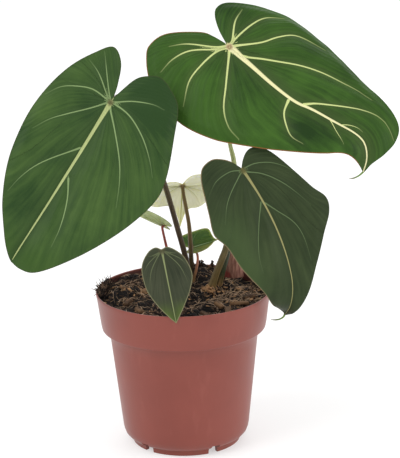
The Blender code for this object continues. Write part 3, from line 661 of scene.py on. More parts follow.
def make_blade(name):
    """A closed blade: quilted upper face, ribbed underside and a thin margin between them."""
    leaf, look = LEAVES[name], BLADE_LOOKS[name]
    flat, faces = blade_grid(leaf)
    count = len(flat)
    base = blade_points(leaf, flat[:, 0], flat[:, 1])
    out = sheet_normals(base, faces)
    if (out @ leaf_axes(leaf)[2]).mean() < 0:
        faces = [face[::-1] for face in faces]
        out = -out
    fields = vein_fields(leaf, look, flat)
    fields["blush"] = blush_field(name, leaf, flat)
    fields["shade"] = light_and_shade_field(name, flat)
    above, below = blade_relief(name, look, fields, flat)
    points = np.vstack([base + out * above[:, None], base + out * below[:, None]])
    rim = edge_loop(faces)
    all_faces = faces + [[c + count for c in face[::-1]] for face in faces]
    all_faces += [[b, a, a + count, b + count] for a, b in rim]
    mesh = mesh_of("leaf_blade_" + name, points, all_faces)
    kinds = np.repeat([0, 1, 2], [len(faces), len(faces), len(rim)]).astype(np.int32)
    for finish in blade_finishes(name, look):
        mesh.materials.append(finish)
    mesh.polygons.foreach_set("material_index", kinds)
    for kind in ("near", "strand", "edge", "blush", "shade"):
        give_values(mesh, kind, np.tile(fields[kind], 2))
    triples = {"flat": (flat[:, 0], flat[:, 1], np.zeros(count)),
               "veins": (fields["vein_cross"], fields["vein_apart"], fields["fade"]),
               "midrib": (fields["rib_cross"], fields["rib_apart"], np.ones(count))}
    for kind, columns in triples.items():
        give_vectors(mesh, kind, [np.tile(column, 2) for column in columns])
    mesh.update()
    return place(mesh, "blade_" + name)


# Node building ---------------------------------------------------------------------------------

def add(tree, kind, inputs=(), **settings):
    """A shader node with its settings and its inputs, each a value or another node's socket."""
    node = tree.nodes.new("ShaderNode" + kind)
    for key, value in settings.items():
        setattr(node, key, value)
    for key, value in dict(inputs).items():
        if isinstance(value, bpy.types.NodeSocket):
            tree.links.new(value, node.inputs[key])
        else:
            node.inputs[key].default_value = value
    return node


def calc(tree, operation, a, b=0.0, clamp=False):
    """One step of arithmetic on values."""
    return add(tree, "Math", {0: a, 1: b}, operation=operation, use_clamp=clamp).outputs[0]


def plus(tree, a, b, clamp=False):
    return calc(tree, "ADD", a, b, clamp)


def minus(tree, a, b):
    return calc(tree, "SUBTRACT", a, b)


def times(tree, a, b):
    return calc(tree, "MULTIPLY", a, b)


def between(tree, value, low, high, to_low=0.0, to_high=1.0):
    """Turns a run of values into another with soft ends."""
    node = add(tree, "MapRange", {"Value": value, "From Min": low, "From Max": high,
                                  "To Min": to_low, "To Max": to_high},
               interpolation_type="SMOOTHSTEP")
    return node.outputs["Result"]


def blend(tree, factor, a, b, mode="MIX"):
    """Mixes colour b into colour a."""
    node = add(tree, "Mix", data_type="RGBA", blend_type=mode)
    for index, value in ((0, factor), (6, a), (7, b)):
        if isinstance(value, bpy.types.NodeSocket):
            tree.links.new(value, node.inputs[index])
        else:
            node.inputs[index].default_value = value if index == 0 else (*value[:3], 1)
    return node.outputs[2]


def cloud(tree, vector, scale, detail=3.0, rough=0.55):
    """Soft irregular noise between 0 and 1."""
    node = add(tree, "TexNoise", {"Vector": vector, "Scale": scale, "Detail": detail,
                                  "Roughness": rough})
    return node.outputs[0]


def surface_value(tree, name, output="Fac"):
    """What a mesh stores at each point under this name."""
    return add(tree, "Attribute", attribute_name=name).outputs[output]


def new_group(name, inputs, outputs):
    """An empty node group with named sockets: (tree, input node's outputs, output node)."""
    tree = bpy.data.node_groups.new(name, "ShaderNodeTree")
    for label, kind, value in inputs:
        socket = tree.interface.new_socket(label, in_out="INPUT", socket_type="NodeSocket" + kind)
        socket.default_value = value
    for label, kind in outputs:
        tree.interface.new_socket(label, in_out="OUTPUT", socket_type="NodeSocket" + kind)
    entry = tree.nodes.new("NodeGroupInput")
    leave = tree.nodes.new("NodeGroupOutput")
    return tree, entry.outputs, leave


def use_group(tree, group, **inputs):
    """The outputs of a shared effect with its own inputs set."""
    node = tree.nodes.new("ShaderNodeGroup")
    node.node_tree = group
    for label, value in inputs.items():
        socket = node.inputs[label.replace("_", " ")]
        if isinstance(value, bpy.types.NodeSocket):
            tree.links.new(value, socket)
        else:
            socket.default_value = (*value, 1) if isinstance(value, tuple) else value
    return node.outputs


def new_finish(name, **shader_values):
    """A material with its shader's own uniform values set: (material, tree, shader)."""
    made = bpy.data.materials.new(name)
    made.use_nodes = True
    tree = made.node_tree
    shader = tree.nodes["Principled BSDF"]
    for label, value in shader_values.items():
        shader.inputs[label.replace("_", " ")].default_value = value
    return made, tree, shader


def put_out(tree, leave, colour, roughness, height):
    """Feeds a group's three outputs."""
    for label, value in (("Color", colour), ("Roughness", roughness), ("Height", height)):
        tree.links.new(value, leave.inputs[label])


def own_place(tree):
    """Where a point lies on its piece, in metres."""
    return add(tree, "TexCoord").outputs["Object"]


def wire_surface(tree, shader, colour, roughness, height, depth):
    """Feeds the shader its colour, roughness and a bump of the given depth in metres."""
    tree.links.new(colour, shader.inputs["Base Color"])
    tree.links.new(roughness, shader.inputs["Roughness"])
    bump = add(tree, "Bump", {"Height": height, "Strength": 1.0, "Distance": depth})
    tree.links.new(bump.outputs[0], shader.inputs["Normal"])


# Blade finishes --------------------------------------------------------------------------------

# Hair lines from one rib to the next, and how strongly tissue is streaked if its look doesn't say
HAIR_COUNT = 6.0
PLAIN_STRAND = 0.6
# The darkest tone of an underside, as a share of its own colour
UNDER_DIM = 0.92
# Leaves thin enough for light to pass
THIN_LEAVES = ("back", "side", "young")


def across_mask(tree, name, softness):
    """How fully a point lies on a rib, from its place across the rib."""
    parts = add(tree, "SeparateXYZ", {0: surface_value(tree, name, "Vector")}).outputs
    inside = between(tree, calc(tree, "ABSOLUTE", parts[0]), 1 + softness, 1 - softness)
    by_rib = calc(tree, "LESS_THAN", parts[1], FAR_ACROSS * 0.52)
    crossing = times(tree, inside, by_rib)
    middle = between(tree, parts[1], 1.4, 0.8)
    return times(tree, calc(tree, "MAXIMUM", crossing, middle), parts[2])


def blade_group():
    """Green tissue with fine strands between the ribs, pale ribs and a thin coloured margin, with
    painted shade beside the ribs and patches of painted light and shade.
    """
    white, grey = (1, 1, 1, 1), (0.5, 0.5, 0.5, 1)
    tree, given, leave = new_group(
        "leaf tissue",
        [("Deep", "Color", grey), ("Bright", "Color", white), ("Blush", "Color", white),
         ("Vein", "Color", white), ("Rib", "Color", white), ("Margin", "Color", grey),
         ("Hub", "Color", grey), ("Strand Contrast", "Float", 0.5), ("Hair Count", "Float", 6.0),
         ("Roughness", "Float", 0.45)],
        [("Color", "Color"), ("Roughness", "Float"), ("Height", "Float")])
    flat = surface_value(tree, "flat", "Vector")
    strand = surface_value(tree, "strand")
    radius = add(tree, "VectorMath", {0: flat}, operation="LENGTH").outputs["Value"]
    wide_place = add(tree, "CombineXYZ", {0: times(tree, strand, 5.0),
                                          1: calc(tree, "DIVIDE", radius, 45.0)}).outputs[0]
    wide = cloud(tree, wide_place, 1.3, 2.0, 0.5)
    fine_place = add(tree, "CombineXYZ", {0: times(tree, strand, 19.0),
                                          1: calc(tree, "DIVIDE", radius, 30.0)}).outputs[0]
    fine = cloud(tree, fine_place, 1.0, 3.0, 0.6)
    mottle = cloud(tree, flat, 0.05, 3.0, 0.55)
    speck = cloud(tree, flat, 1.4, 2.0, 0.6)
    spread = between(tree, radius, 2.0, 14.0)
    tone = times(tree, minus(tree, wide, 0.5), given["Strand Contrast"])
    fine_tone = times(tree, minus(tree, fine, 0.5), 1.1)
    tone = times(tree, plus(tree, tone, fine_tone), spread)
    phase = plus(tree, times(tree, strand, given["Hair Count"]), times(tree, mottle, 1.2))
    saw = calc(tree, "ABSOLUTE", minus(tree, calc(tree, "FRACT", phase), 0.5))
    hair = times(tree, between(tree, saw, 0.34, 0.48), between(tree, wide, 0.3, 0.6))
    pleat = between(tree, saw, 0.0, 0.5, -0.05, 0.04)
    tone = plus(tree, tone, times(tree, plus(tree, pleat, times(tree, hair, 0.12)), spread))
    # Painted light and shade: the blade's darker and lighter patches, partly its own uneven tone
    tone = plus(tree, tone, surface_value(tree, "shade"))
    tone = plus(tree, tone, times(tree, minus(tree, mottle, 0.5), 1.0))
    tone = plus(tree, plus(tree, tone, 0.5),
                times(tree, minus(tree, speck, 0.5), 0.3), clamp=True)
    green = blend(tree, tone, given["Deep"], given["Bright"])
    green = blend(tree, times(tree, surface_value(tree, "blush"), 0.75), green, given["Blush"])
    # Painted shade: tissue beside each rib is darkened towards the deep green, standing in for the
    # shaded creases
    near = surface_value(tree, "near")
    green = blend(tree, times(tree, near, 0.5), green, given["Deep"])
    vein = across_mask(tree, "veins", 0.35)
    colour = blend(tree, times(tree, near, 0.04), green, given["Vein"])
    colour = blend(tree, vein, colour, given["Vein"])
    rib = across_mask(tree, "midrib", 0.3)
    colour = blend(tree, rib, colour, given["Rib"])
    hub = between(tree, radius, 3.4, 0.8)
    colour = blend(tree, times(tree, hub, 0.8), colour, given["Hub"])
    rim = between(tree, surface_value(tree, "edge"), 0.8, 0.15)
    colour = blend(tree, times(tree, rim, 0.7), colour, given["Margin"])
    rough = plus(tree, given["Roughness"], times(tree, minus(tree, mottle, 0.5), 0.25))
    rough = plus(tree, rough, times(tree, vein, 0.08))
    height = plus(tree, times(tree, times(tree, fine, spread), 0.8), times(tree, speck, 0.2))
    height = minus(tree, height, times(tree, saw, 1.6))
    put_out(tree, leave, colour, rough, height)
    return tree


BLADE_GROUP = blade_group()


def blade_finishes(name, look):
    """Upper face, underside and margin of one blade."""
    made = []
    under = [part * UNDER_DIM for part in look["under"]]
    for side, deep, bright, rough in (("upper", look["deep"], look["bright"], 0.5),
                                      ("under", under, look["under"], 0.6)):
        finish, tree, shader = new_finish("%s blade, %s" % (name, side), Specular_IOR_Level=0.1)
        if name in THIN_LEAVES:
            shader.inputs["Subsurface Weight"].default_value = 0.8
            shader.inputs["Subsurface Radius"].default_value = (1.0, 1.0, 0.6)
            shader.inputs["Subsurface Scale"].default_value = 0.002
        out = use_group(tree, BLADE_GROUP, Deep=paint(deep), Bright=paint(bright),
                        Blush=paint(look["blush"]), Vein=paint(look["vein_colour"]),
                        Rib=paint(look["rib_colour"]), Margin=paint(look["margin_colour"]),
                        Hub=paint(look["hub"]), Strand_Contrast=look.get("strand", PLAIN_STRAND),
                        Hair_Count=HAIR_COUNT, Roughness=rough)
        wire_surface(tree, shader, out["Color"], out["Roughness"], out["Height"], 0.00016)
        made.append(finish)
    finish, tree, shader = new_finish("%s blade, margin" % name, Roughness=0.5)
    tone = cloud(tree, own_place(tree), 160.0)
    edge = blend(tree, times(tree, tone, 0.5), paint(look["blush"]), paint(look["margin_colour"]))
    tree.links.new(edge, shader.inputs["Base Color"])
    made.append(finish)
    return made


# Stalks ----------------------------------------------------------------------------------------

def tube_rings(centre, radii, sides, shape=None):
    """Rings of points round a centre line, turned as little as possible from one to the next."""
    heads = np.gradient(centre, axis=0)
    heads /= np.linalg.norm(heads, axis=1)[:, None]
    across = np.cross(heads[0], (0.0, 1.0, 0.2))
    across /= np.linalg.norm(across)
    turns = 2 * pi * np.arange(sides) / sides
    rings = []
    for place_at, head, radius in zip(centre, heads, radii):
        across = across - head * (across @ head)
        across /= np.linalg.norm(across)
        other = np.cross(head, across)
        reach = radius * (np.ones(sides) if shape is None else shape(turns))
        rings.append(place_at + np.outer(np.cos(turns) * reach, across)
                     + np.outer(np.sin(turns) * reach, other))
    return np.array(rings)


def tube_faces(ring_count, sides):
    """The side faces of a tube and its two end faces."""
    faces = []
    for ring in range(ring_count - 1):
        for k in range(sides):
            n = (k + 1) % sides
            a, b = ring * sides, (ring + 1) * sides
            faces.append([a + k, a + n, b + n, b + k])
    faces.append(list(range(sides - 1, -1, -1)))
    last = (ring_count - 1) * sides
    faces.append(list(range(last, last + sides)))
    return faces


def stalk_route(leaf):
    """The stalk's centre line, from below the soil's top to just under the joint."""
    upper = leaf_axes(leaf)[2]
    joint = np.array(leaf["joint"], float)
    seat = BLADE_THICKNESS / 2 + SEAT_GAP
    below = [seat + share * leaf["length"] for share in STALK_APPROACH]
    return [*leaf["stalk"], *(tuple(joint - upper * depth) for depth in below)]


def make_stalk(name):
    """A grooved stalk, flared at its foot and thickened under the joint."""
    leaf = LEAVES[name]
    centre = curve_through(stalk_route(leaf), STALK_RINGS, crowding=1.35)
    share = np.linspace(0, 1, STALK_RINGS)
    foot, top = leaf["stalk_radius"]
    radii = foot + (top - foot) * share ** 0.7
    radii = radii * (1 - STALK_THINNING.get(name, 0.0) * smooth_step(0.25, 0.75, share))
    flare = STALK_FLARES.get(name, PLAIN_FLARE) * np.exp(-(share / 0.05) ** 2)
    radii = radii * (1 + flare + 0.16 * smooth_step(0.93, 1.0, share))
    knots = np.array([noise.noise(Vector((s * 22, len(name), foot))) for s in share])
    radii = radii * (1 + 0.035 * knots)
    # Thick stalks are grooved more deeply
    channel = 0.10 if foot > 2 else 0.04

    def cross_section(turns):
        return 1 - channel * np.exp(-((turns - pi * 0.6) / 0.45) ** 2) + 0.02 * np.cos(3 * turns)

    rings = tube_rings(centre, radii, STALK_SIDES, cross_section)
    mesh = mesh_of("leaf_stalk_" + name, rings.reshape(-1, 3), tube_faces(STALK_RINGS, STALK_SIDES))
    give_values(mesh, "rise", np.repeat(share, STALK_SIDES))
    turns = np.tile(2 * pi * np.arange(STALK_SIDES) / STALK_SIDES, STALK_RINGS)
    length = np.repeat(share, STALK_SIDES) * np.linalg.norm(np.diff(centre, axis=0), axis=1).sum()
    give_vectors(mesh, "skin", [np.cos(turns) * 2.2, np.sin(turns) * 2.2, length / 16])
    mesh.materials.append(stalk_finish(name))
    mesh.update()
    return place(mesh, "stalk_" + name)


# Each thread's way from the blade's tip, in millimetres
DRIP_TIPS = {
    "top": [(0.6, 0, 1.2), (-0.6, 0, -0.2), (-3.0, 0.4, -2.2), (-6.2, 0.8, -3.8),
            (-9.4, 1.0, -4.0)],
    "right": [(0.4, 0, 1.0), (-0.8, 0, -1.2), (-3.4, 0.3, -2.8), (-6.4, 0.6, -3.3),
              (-9.4, 0.8, -3.0)],
}


def make_drip_tip(name):
    """The thin curled thread that a blade's tip runs out into."""
    leaf = LEAVES[name]
    across, along = leaf["far_half"][-1]
    tip = blade_points(leaf, np.array([across]), np.array([along]))[0]
    rings, sides = 26, 8
    centre = curve_through(tip + np.array(DRIP_TIPS[name]), rings)
    radii = np.interp(np.linspace(0, 1, rings), (0, 0.3, 0.75, 1), (0.75, 0.6, 0.5, 0.12))
    points = tube_rings(centre, radii, sides, lambda turns: 1 - 0.35 * np.sin(turns) ** 2)
    mesh = mesh_of("thread_" + name, points.reshape(-1, 3), tube_faces(rings, sides))
    give_values(mesh, "run", np.repeat(np.linspace(0, 1, rings), sides))
    finish, tree, shader = new_finish(name + " drip tip", Specular_IOR_Level=0.3, Roughness=0.5)
    colour = blend(tree, between(tree, surface_value(tree, "run"), 0.4, 1.0),
                   paint((104, 132, 58)), paint((104, 92, 56)))
    speck = cloud(tree, own_place(tree), 1200.0)
    wire_surface(tree, shader, colour, between(tree, speck, 0.3, 0.7, 0.45, 0.6), speck, 0.0001)
    mesh.materials.append(finish)
    mesh.update()
    obj = bpy.data.objects.new("drip_tip_" + name, mesh)
    bpy.context.scene.collection.objects.link(obj)
    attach(obj, "root")
    return obj


def stalk_group():
    """Streaked skin that turns from one colour at the foot to another at the top."""
    grey = (0.5, 0.5, 0.5, 1)
    tree, given, leave = new_group(
        "stalk skin",
        [("Foot", "Color", grey), ("Top", "Color", grey), ("Scar", "Color", grey)],
        [("Color", "Color"), ("Roughness", "Float"), ("Height", "Float")])
    rise = surface_value(tree, "rise")
    skin = surface_value(tree, "skin", "Vector")
    streak = cloud(tree, skin, 2.2, 3.0, 0.6)
    dots = cloud(tree, own_place(tree), 900.0, 2.0, 0.5)
    colour = blend(tree, between(tree, rise, 0.1, 0.5), given["Foot"], given["Top"])
    dark = blend(tree, 1.0, colour, (0.58, 0.56, 0.54), "MULTIPLY")
    colour = blend(tree, between(tree, streak, 0.62, 0.36), colour, dark)
    colour = blend(tree, times(tree, between(tree, dots, 0.55, 0.75), 0.3), colour,
                   given["Scar"])
    foot = between(tree, rise, 0.07, 0.0)
    colour = blend(tree, times(tree, foot, between(tree, streak, 0.35, 0.6)), colour,
                   given["Scar"])
    rough = between(tree, streak, 0.3, 0.7, 0.34, 0.55)
    put_out(tree, leave, colour, rough, streak)
    return tree


STALK_GROUP = stalk_group()


def stalk_finish(name):
    foot, top = STALK_COLOURS[name]
    finish, tree, shader = new_finish(name + " stalk skin", Specular_IOR_Level=0.4)
    out = use_group(tree, STALK_GROUP, Foot=paint(foot), Top=paint(top), Scar=paint(SCAR_COLOUR))
    wire_surface(tree, shader, out["Color"], out["Roughness"], out["Height"], 0.00025)
    return finish


# Soil and litter -------------------------------------------------------------------------------

SOIL_LEVEL = 102.5
# Heaps as (across, back, height, spread): those of the packed soil, then the loose ones on it
SOIL_HEAPS = [(12, 44, 5.5, 260), (-48, 8, 4.0, 90), (12, 22, 3.0, 500)]
LOOSE_HEAPS = [(-34, 26, 3.6, 420), (-20, 42, 2.0, 200)]
RIM_RADIUS = (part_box("pot")[1].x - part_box("pot")[0].x) / 2 / MM
POT_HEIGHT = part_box("pot")[1].z / MM
SOIL_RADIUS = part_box("soil")[1].x / MM
SOIL_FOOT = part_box("soil")[0].z / MM
# The packed soil's hidden side, from under its loose top down to its foot: (radius, height)
SOIL_SIDE = ((SOIL_RADIUS - 1.2, 92), (SOIL_RADIUS - 3.6, 85), (49.8, 83.4), (42.2, 16),
             (35.4, SOIL_FOOT))


def heaped(heaps, x, y):
    """Height that the heaps add at a spot."""
    return sum(height * np.exp(-((x - across) ** 2 + (y - back) ** 2) / spread)
               for across, back, height, spread in heaps)


def soil_height(x, y):
    """The soil's lumpy top: level near the rim, heaped at the back and at the left."""
    out = np.hypot(x, y)
    level = SOIL_LEVEL - 1.5 * np.maximum(0.0, (out - 48) / 10)
    level = level + 1.2 * np.sin(x / 7 + 1) * np.cos(y / 6) + 0.8 * np.sin(x / 4.1 - y / 5.3)
    return level + heaped(SOIL_HEAPS, x, y)


def crumb(x, y):
    """Height of the soil's crumbs over its even top, in millimetres."""
    lump = noise.fractal(Vector((x / 9, y / 9, 4.0)), 1.0, 2.1, 3) * 1.3
    cell = noise.voronoi(Vector((x / 3.4, y / 3.4, 1.0)))[0][0]
    grain = noise.voronoi(Vector((x / 1.5, y / 1.5, 7.0)))[0][0]
    return lump + 1.5 * (0.45 - cell) + 0.6 * (0.45 - grain) + heaped(LOOSE_HEAPS, x, y)


def top_at(x, y):
    """Height of the soil's finished top at a spot."""
    return float(soil_height(x, y)) + crumb(x, y)


def make_soil():
    """Soil with a crumbly top, turned round its centre and closed below."""
    rings = int(SOIL_RADIUS / SOIL_STEP)
    around = SOIL_SEGMENTS
    points = [(0, 0, top_at(0, 0))]
    for ring in range(1, rings + 1):
        radius = SOIL_RADIUS * ring / rings
        for k in range(around):
            turn = 2 * pi * k / around
            x, y = radius * cos(turn), radius * sin(turn)
            points.append((x, y, top_at(x, y)))
    for radius, height in SOIL_SIDE:
        for k in range(around):
            turn = 2 * pi * k / around
            points.append((radius * cos(turn), radius * sin(turn), height))
    faces = [[0, 1 + k, 1 + (k + 1) % around] for k in range(around)]
    total = rings + len(SOIL_SIDE)
    for ring in range(total - 1):
        a, b = 1 + ring * around, 1 + (ring + 1) * around
        for k in range(around):
            n = (k + 1) % around
            faces.append([a + k, b + k, b + n, a + n])
    last = 1 + (total - 1) * around
    faces.append(list(range(last + around - 1, last - 1, -1)))
    mesh = mesh_of("potting_soil", points, faces)
    mesh.materials.append(soil_finish())
    mesh.update()
    return place(mesh, "soil")


def soil_group():
    """Dark crumbs with brown and tan specks, for soil and everything that lies in it."""
    grey = (0.5, 0.5, 0.5, 1)
    tree, given, leave = new_group(
        "crumbs and fibre",
        [("Dark", "Color", grey), ("Brown", "Color", grey), ("Tan", "Color", grey),
         ("Tan Share", "Float", 0.2), ("Grain", "Float", 1.0)],
        [("Color", "Color"), ("Roughness", "Float"), ("Height", "Float")])
    place_at = own_place(tree)
    coarse = cloud(tree, place_at, 130.0, 3.0, 0.6)
    cells = add(tree, "TexVoronoi", {"Vector": place_at, "Scale": 420.0})
    pick = add(tree, "SeparateXYZ", {0: cells.outputs["Color"]}).outputs
    fine = cloud(tree, place_at, 1500.0, 2.0, 0.6)
    colour = blend(tree, between(tree, coarse, 0.4, 0.7), given["Dark"], given["Brown"])
    edge = minus(tree, 1.0, given["Tan Share"])
    tan = calc(tree, "GREATER_THAN", pick[0], edge)
    tan = times(tree, tan, between(tree, coarse, 0.35, 0.6))
    colour = blend(tree, times(tree, tan, 0.75), colour, given["Tan"])
    shade = between(tree, fine, 0.3, 0.7, 0.55, 1.25)
    shade = add(tree, "CombineXYZ", {0: shade, 1: shade, 2: shade}).outputs[0]
    colour = blend(tree, given["Grain"], colour, shade, "MULTIPLY")
    height = plus(tree, times(tree, fine, 0.5), cells.outputs["Distance"])
    rough = between(tree, fine, 0.2, 0.8, 0.8, 1.0)
    put_out(tree, leave, colour, rough, height)
    return tree


SOIL_GROUP = soil_group()


def soil_finish():
    finish, tree, shader = new_finish("potting soil", Specular_IOR_Level=0.2)
    out = use_group(tree, SOIL_GROUP, Dark=paint((20, 17, 19)), Brown=paint((42, 33, 30)),
                    Tan=paint((116, 94, 78)), Tan_Share=0.08, Grain=0.8)
    wire_surface(tree, shader, out["Color"], out["Roughness"], out["Height"], 0.0008)
    return finish


def litter_finish(name, dark, brown, tan, light):
    """Bark or fibre whose pieces differ in tone from near black to tan."""
    finish, tree, shader = new_finish(name, Specular_IOR_Level=0.25)
    out = use_group(tree, SOIL_GROUP, Dark=paint(dark), Brown=paint(brown), Tan=paint(tan),
                    Tan_Share=0.35, Grain=0.9)
    tone = surface_value(tree, "tone")
    colour = blend(tree, between(tree, tone, 0.25, 1.0), out["Color"], paint(light))
    colour = blend(tree, between(tree, tone, 0.45, 0.0), colour, paint(dark))
    wire_surface(tree, shader, colour, out["Roughness"], out["Height"], 0.0004)
    return finish


def join_bits(name, bits, finish):
    """One mesh from many (points, faces, tone) bits."""
    points, faces, tones = [], [], []
    for bit_points, bit_faces, tone in bits:
        faces += [[c + len(points) for c in face] for face in bit_faces]
        points += [tuple(p) for p in bit_points]
        tones += [tone] * len(bit_points)
    mesh = mesh_of(name, points, faces, smooth=False)
    give_values(mesh, "tone", tones)
    mesh.materials.append(finish)
    mesh.update()
    obj = bpy.data.objects.new(name, mesh)
    bpy.context.scene.collection.objects.link(obj)
    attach(obj, "root")
    return obj


def flake_shape():
    """Points and faces of one rounded lump, one millimetre across."""
    shape = bmesh.new()
    bmesh.ops.create_icosphere(shape, subdivisions=1, radius=0.5)
    points = np.array([v.co for v in shape.verts])
    faces = [[v.index for v in face.verts] for face in shape.faces]
    shape.free()
    return points, faces


def clear_of_stalks(x, y, room):
    """Whether a spot is at least this far from every stalk's foot."""
    return all(np.hypot(x - leaf["stalk"][0][0], y - leaf["stalk"][0][1])
               > leaf["stalk_radius"][0] + room for leaf in LEAVES.values())


def random_spot(dice, room):
    """A spot on the soil, as likely anywhere, that no stalk stands on."""
    while True:
        radius = (SOIL_RADIUS - 2) * dice.random() ** 0.5
        turn = dice.uniform(0, 2 * pi)
        x, y = radius * cos(turn), radius * sin(turn)
        if clear_of_stalks(x, y, room):
            return x, y


def tan_chance(x, y):
    """How likely a bit is to be light: most at the right front and at the left."""
    right = np.exp(-((x - 42) ** 2 + (y + 4) ** 2) / 420)
    left = np.exp(-((x + 38) ** 2 + (y - 8) ** 2) / 420)
    return 0.08 + 0.9 * right + 0.45 * left


# Tufts of fibres: (across, back, count, lowest, length)
TUFTS = ((-57, 0, 110, 106.5, 5.5), (-55, 9, 110, 106.5, 5.0), (-52, 18, 60, 107.0, 4.5))
# Piles of crumbs: (across, back, spread across, spread back, lowest, highest, count, tones)
PILES = ((-55.0, 2.0, 1.2, 4.5, 102.5, 109.0, 150, (0.0, 0.4)),
         (-52.5, 15.0, 1.6, 4.5, 103.0, 110.5, 150, (0.0, 0.4)),
         (32.0, 44.0, 2.6, 1.2, 98.5, 105.5, 110, (0.1, 0.9)),
         (11.0, 52.0, 4.5, 1.6, 105.0, 112.0, 130, (0.0, 0.4)),
         (20.8, 50.0, 0.7, 0.8, 104.0, 112.5, 44, (0.0, 0.3)),
         (17.0, 6.5, 2.8, 1.8, 104.0, 107.5, 60, (0.85, 1.0)))
# Limits of a crumb's length, width and thickness
CRUMB_SIZES = ((1.2, 3.4), (0.8, 2.0), (0.6, 1.5))


def scattered_flakes(dice, shape, faces):
    """Flakes and crumbs of bark all over the soil."""
    bits = []
    for _ in range(LOOSE_BARK_COUNT):
        x, y = random_spot(dice, 0.6)
        length = 1.0 + 4.6 * dice.random() ** 2.8
        width = length * dice.uniform(0.28, 0.6)
        thick = max(0.45, width * dice.uniform(0.25, 0.6))
        jitter = np.array([[dice.uniform(0.75, 1.25) for _ in range(3)] for _ in shape])
        bit = shape * jitter * (length, width, thick)
        tilt = Matrix.Rotation(dice.uniform(-0.5, 0.5), 3, "Y") @ Matrix.Rotation(
            dice.uniform(-0.6, 0.6), 3, "X")
        turn = Matrix.Rotation(dice.uniform(0, 2 * pi), 3, "Z") @ tilt
        bit = bit @ np.array(turn).T
        reach = np.hypot(x, y) + length / 2
        if reach > SOIL_RADIUS:
            x, y = x * (SOIL_RADIUS - length / 2) / reach, y * (SOIL_RADIUS - length / 2) / reach
        bit = bit + (x, y, top_at(x, y) + thick * 0.35)
        light = dice.random() < tan_chance(x, y)
        tone = dice.uniform(0.55, 1.0) if light else dice.uniform(0.0, 0.5)
        bits.append((bit, faces, tone))
    return bits


def piled_crumbs(dice, shape, faces):
    """Crumbs heaped at the rim and at the foot of the stalks."""
    bits = []
    for across, back, spread_x, spread_y, lowest, highest, count, tones in PILES:
        for _ in range(count):
            size = np.array([dice.uniform(*limits) for limits in CRUMB_SIZES])
            turn = Matrix.Rotation(dice.uniform(0, pi), 3, (dice.random(), dice.random(), 1.0))
            lean = dice.gauss(0, 1.0)
            height = lowest + (highest - lowest) * dice.random() * np.exp(-lean ** 2 / 3)
            spot = (across + spread_x * lean, back + dice.gauss(0, spread_y), height)
            bit = (shape * size) @ np.array(turn).T + spot
            bits.append((bit, faces, dice.uniform(*tones)))
    return bits


def make_loose_bark(dice):
    """Loose bits of bark, joined into one piece."""
    shape, faces = flake_shape()
    bits = scattered_flakes(dice, shape, faces) + piled_crumbs(dice, shape, faces)
    finish = litter_finish("loose bark", dark=(23, 19, 21), brown=(48, 38, 36), tan=(130, 98, 72),
                           light=(178, 136, 98))
    return join_bits("loose_bark", bits, finish)


def strand_bit(dice, start, heading, length, radius, climb=0.0, tone=None):
    """A short curved fibre that follows the soil, or rises from it."""
    count, sides = 7, 4
    bow = dice.uniform(-1.6, 1.6)
    points = []
    x, y, z = start
    for k in range(count):
        share = k / (count - 1)
        points.append((x, y, z))
        angle = heading + bow * (share - 0.5)
        step = length / (count - 1)
        x, y = x + cos(angle) * step * (1 - 0.6 * climb), y + sin(angle) * step * (1 - 0.6 * climb)
        if np.hypot(x, y) > SOIL_RADIUS and not climb:
            x, y = x * SOIL_RADIUS / np.hypot(x, y), y * SOIL_RADIUS / np.hypot(x, y)
        lift = 0.5 + 1.1 * sin(pi * share) * dice.random()
        z = z + climb * step + dice.uniform(-0.2, 0.2) if climb else top_at(x, y) + lift
    centre = curve_through(points, count)
    radii = radius * (1 - 0.6 * np.abs(np.linspace(-1, 1, count)) ** 3)
    rings = tube_rings(centre, radii, sides)
    if tone is None:
        light = dice.random() < 0.2 + tan_chance(start[0], start[1])
        tone = dice.uniform(0.6, 1.0) if light else dice.uniform(0.0, 0.45)
    return rings.reshape(-1, 3), tube_faces(count, sides), tone


def make_coir(dice):
    """Fibres all over the soil, and tufts of them that hang over the rim."""
    bits = []
    for _ in range(FIBRE_COUNT):
        x, y = random_spot(dice, 1.0)
        length = 5 + 14 * dice.random() ** 2
        bits.append(strand_bit(dice, (x, y, top_at(x, y) + 0.5), dice.uniform(0, 2 * pi), length,
                               dice.uniform(0.09, 0.2)))
    for centre_x, centre_y, count, base, tall in TUFTS:
        for _ in range(count):
            x, y = centre_x + dice.gauss(0, 1.7), centre_y + dice.gauss(0, 4.0)
            start = (x, y, base + dice.uniform(-1.0, 1.5))
            bits.append(strand_bit(dice, start, dice.uniform(0, 2 * pi),
                                   tall * dice.uniform(0.5, 1.2), dice.uniform(0.12, 0.3),
                                   climb=dice.uniform(0.3, 1.0), tone=dice.uniform(0.0, 0.5)))
    finish = litter_finish("coir fibre", dark=(34, 27, 25), brown=(108, 82, 66), tan=(150, 118, 96),
                           light=(204, 172, 144))
    return join_bits("coir_fibres", bits, finish)


CHIP_FINISH = litter_finish("bark chip", dark=(34, 26, 24), brown=(76, 56, 44), tan=(124, 92, 66),
                            light=(132, 100, 72))
# Size and height of a chip's roughness, in millimetres
CHIP_ROUGH_SIZE = 2.2
CHIP_ROUGH_HEIGHT = 0.5


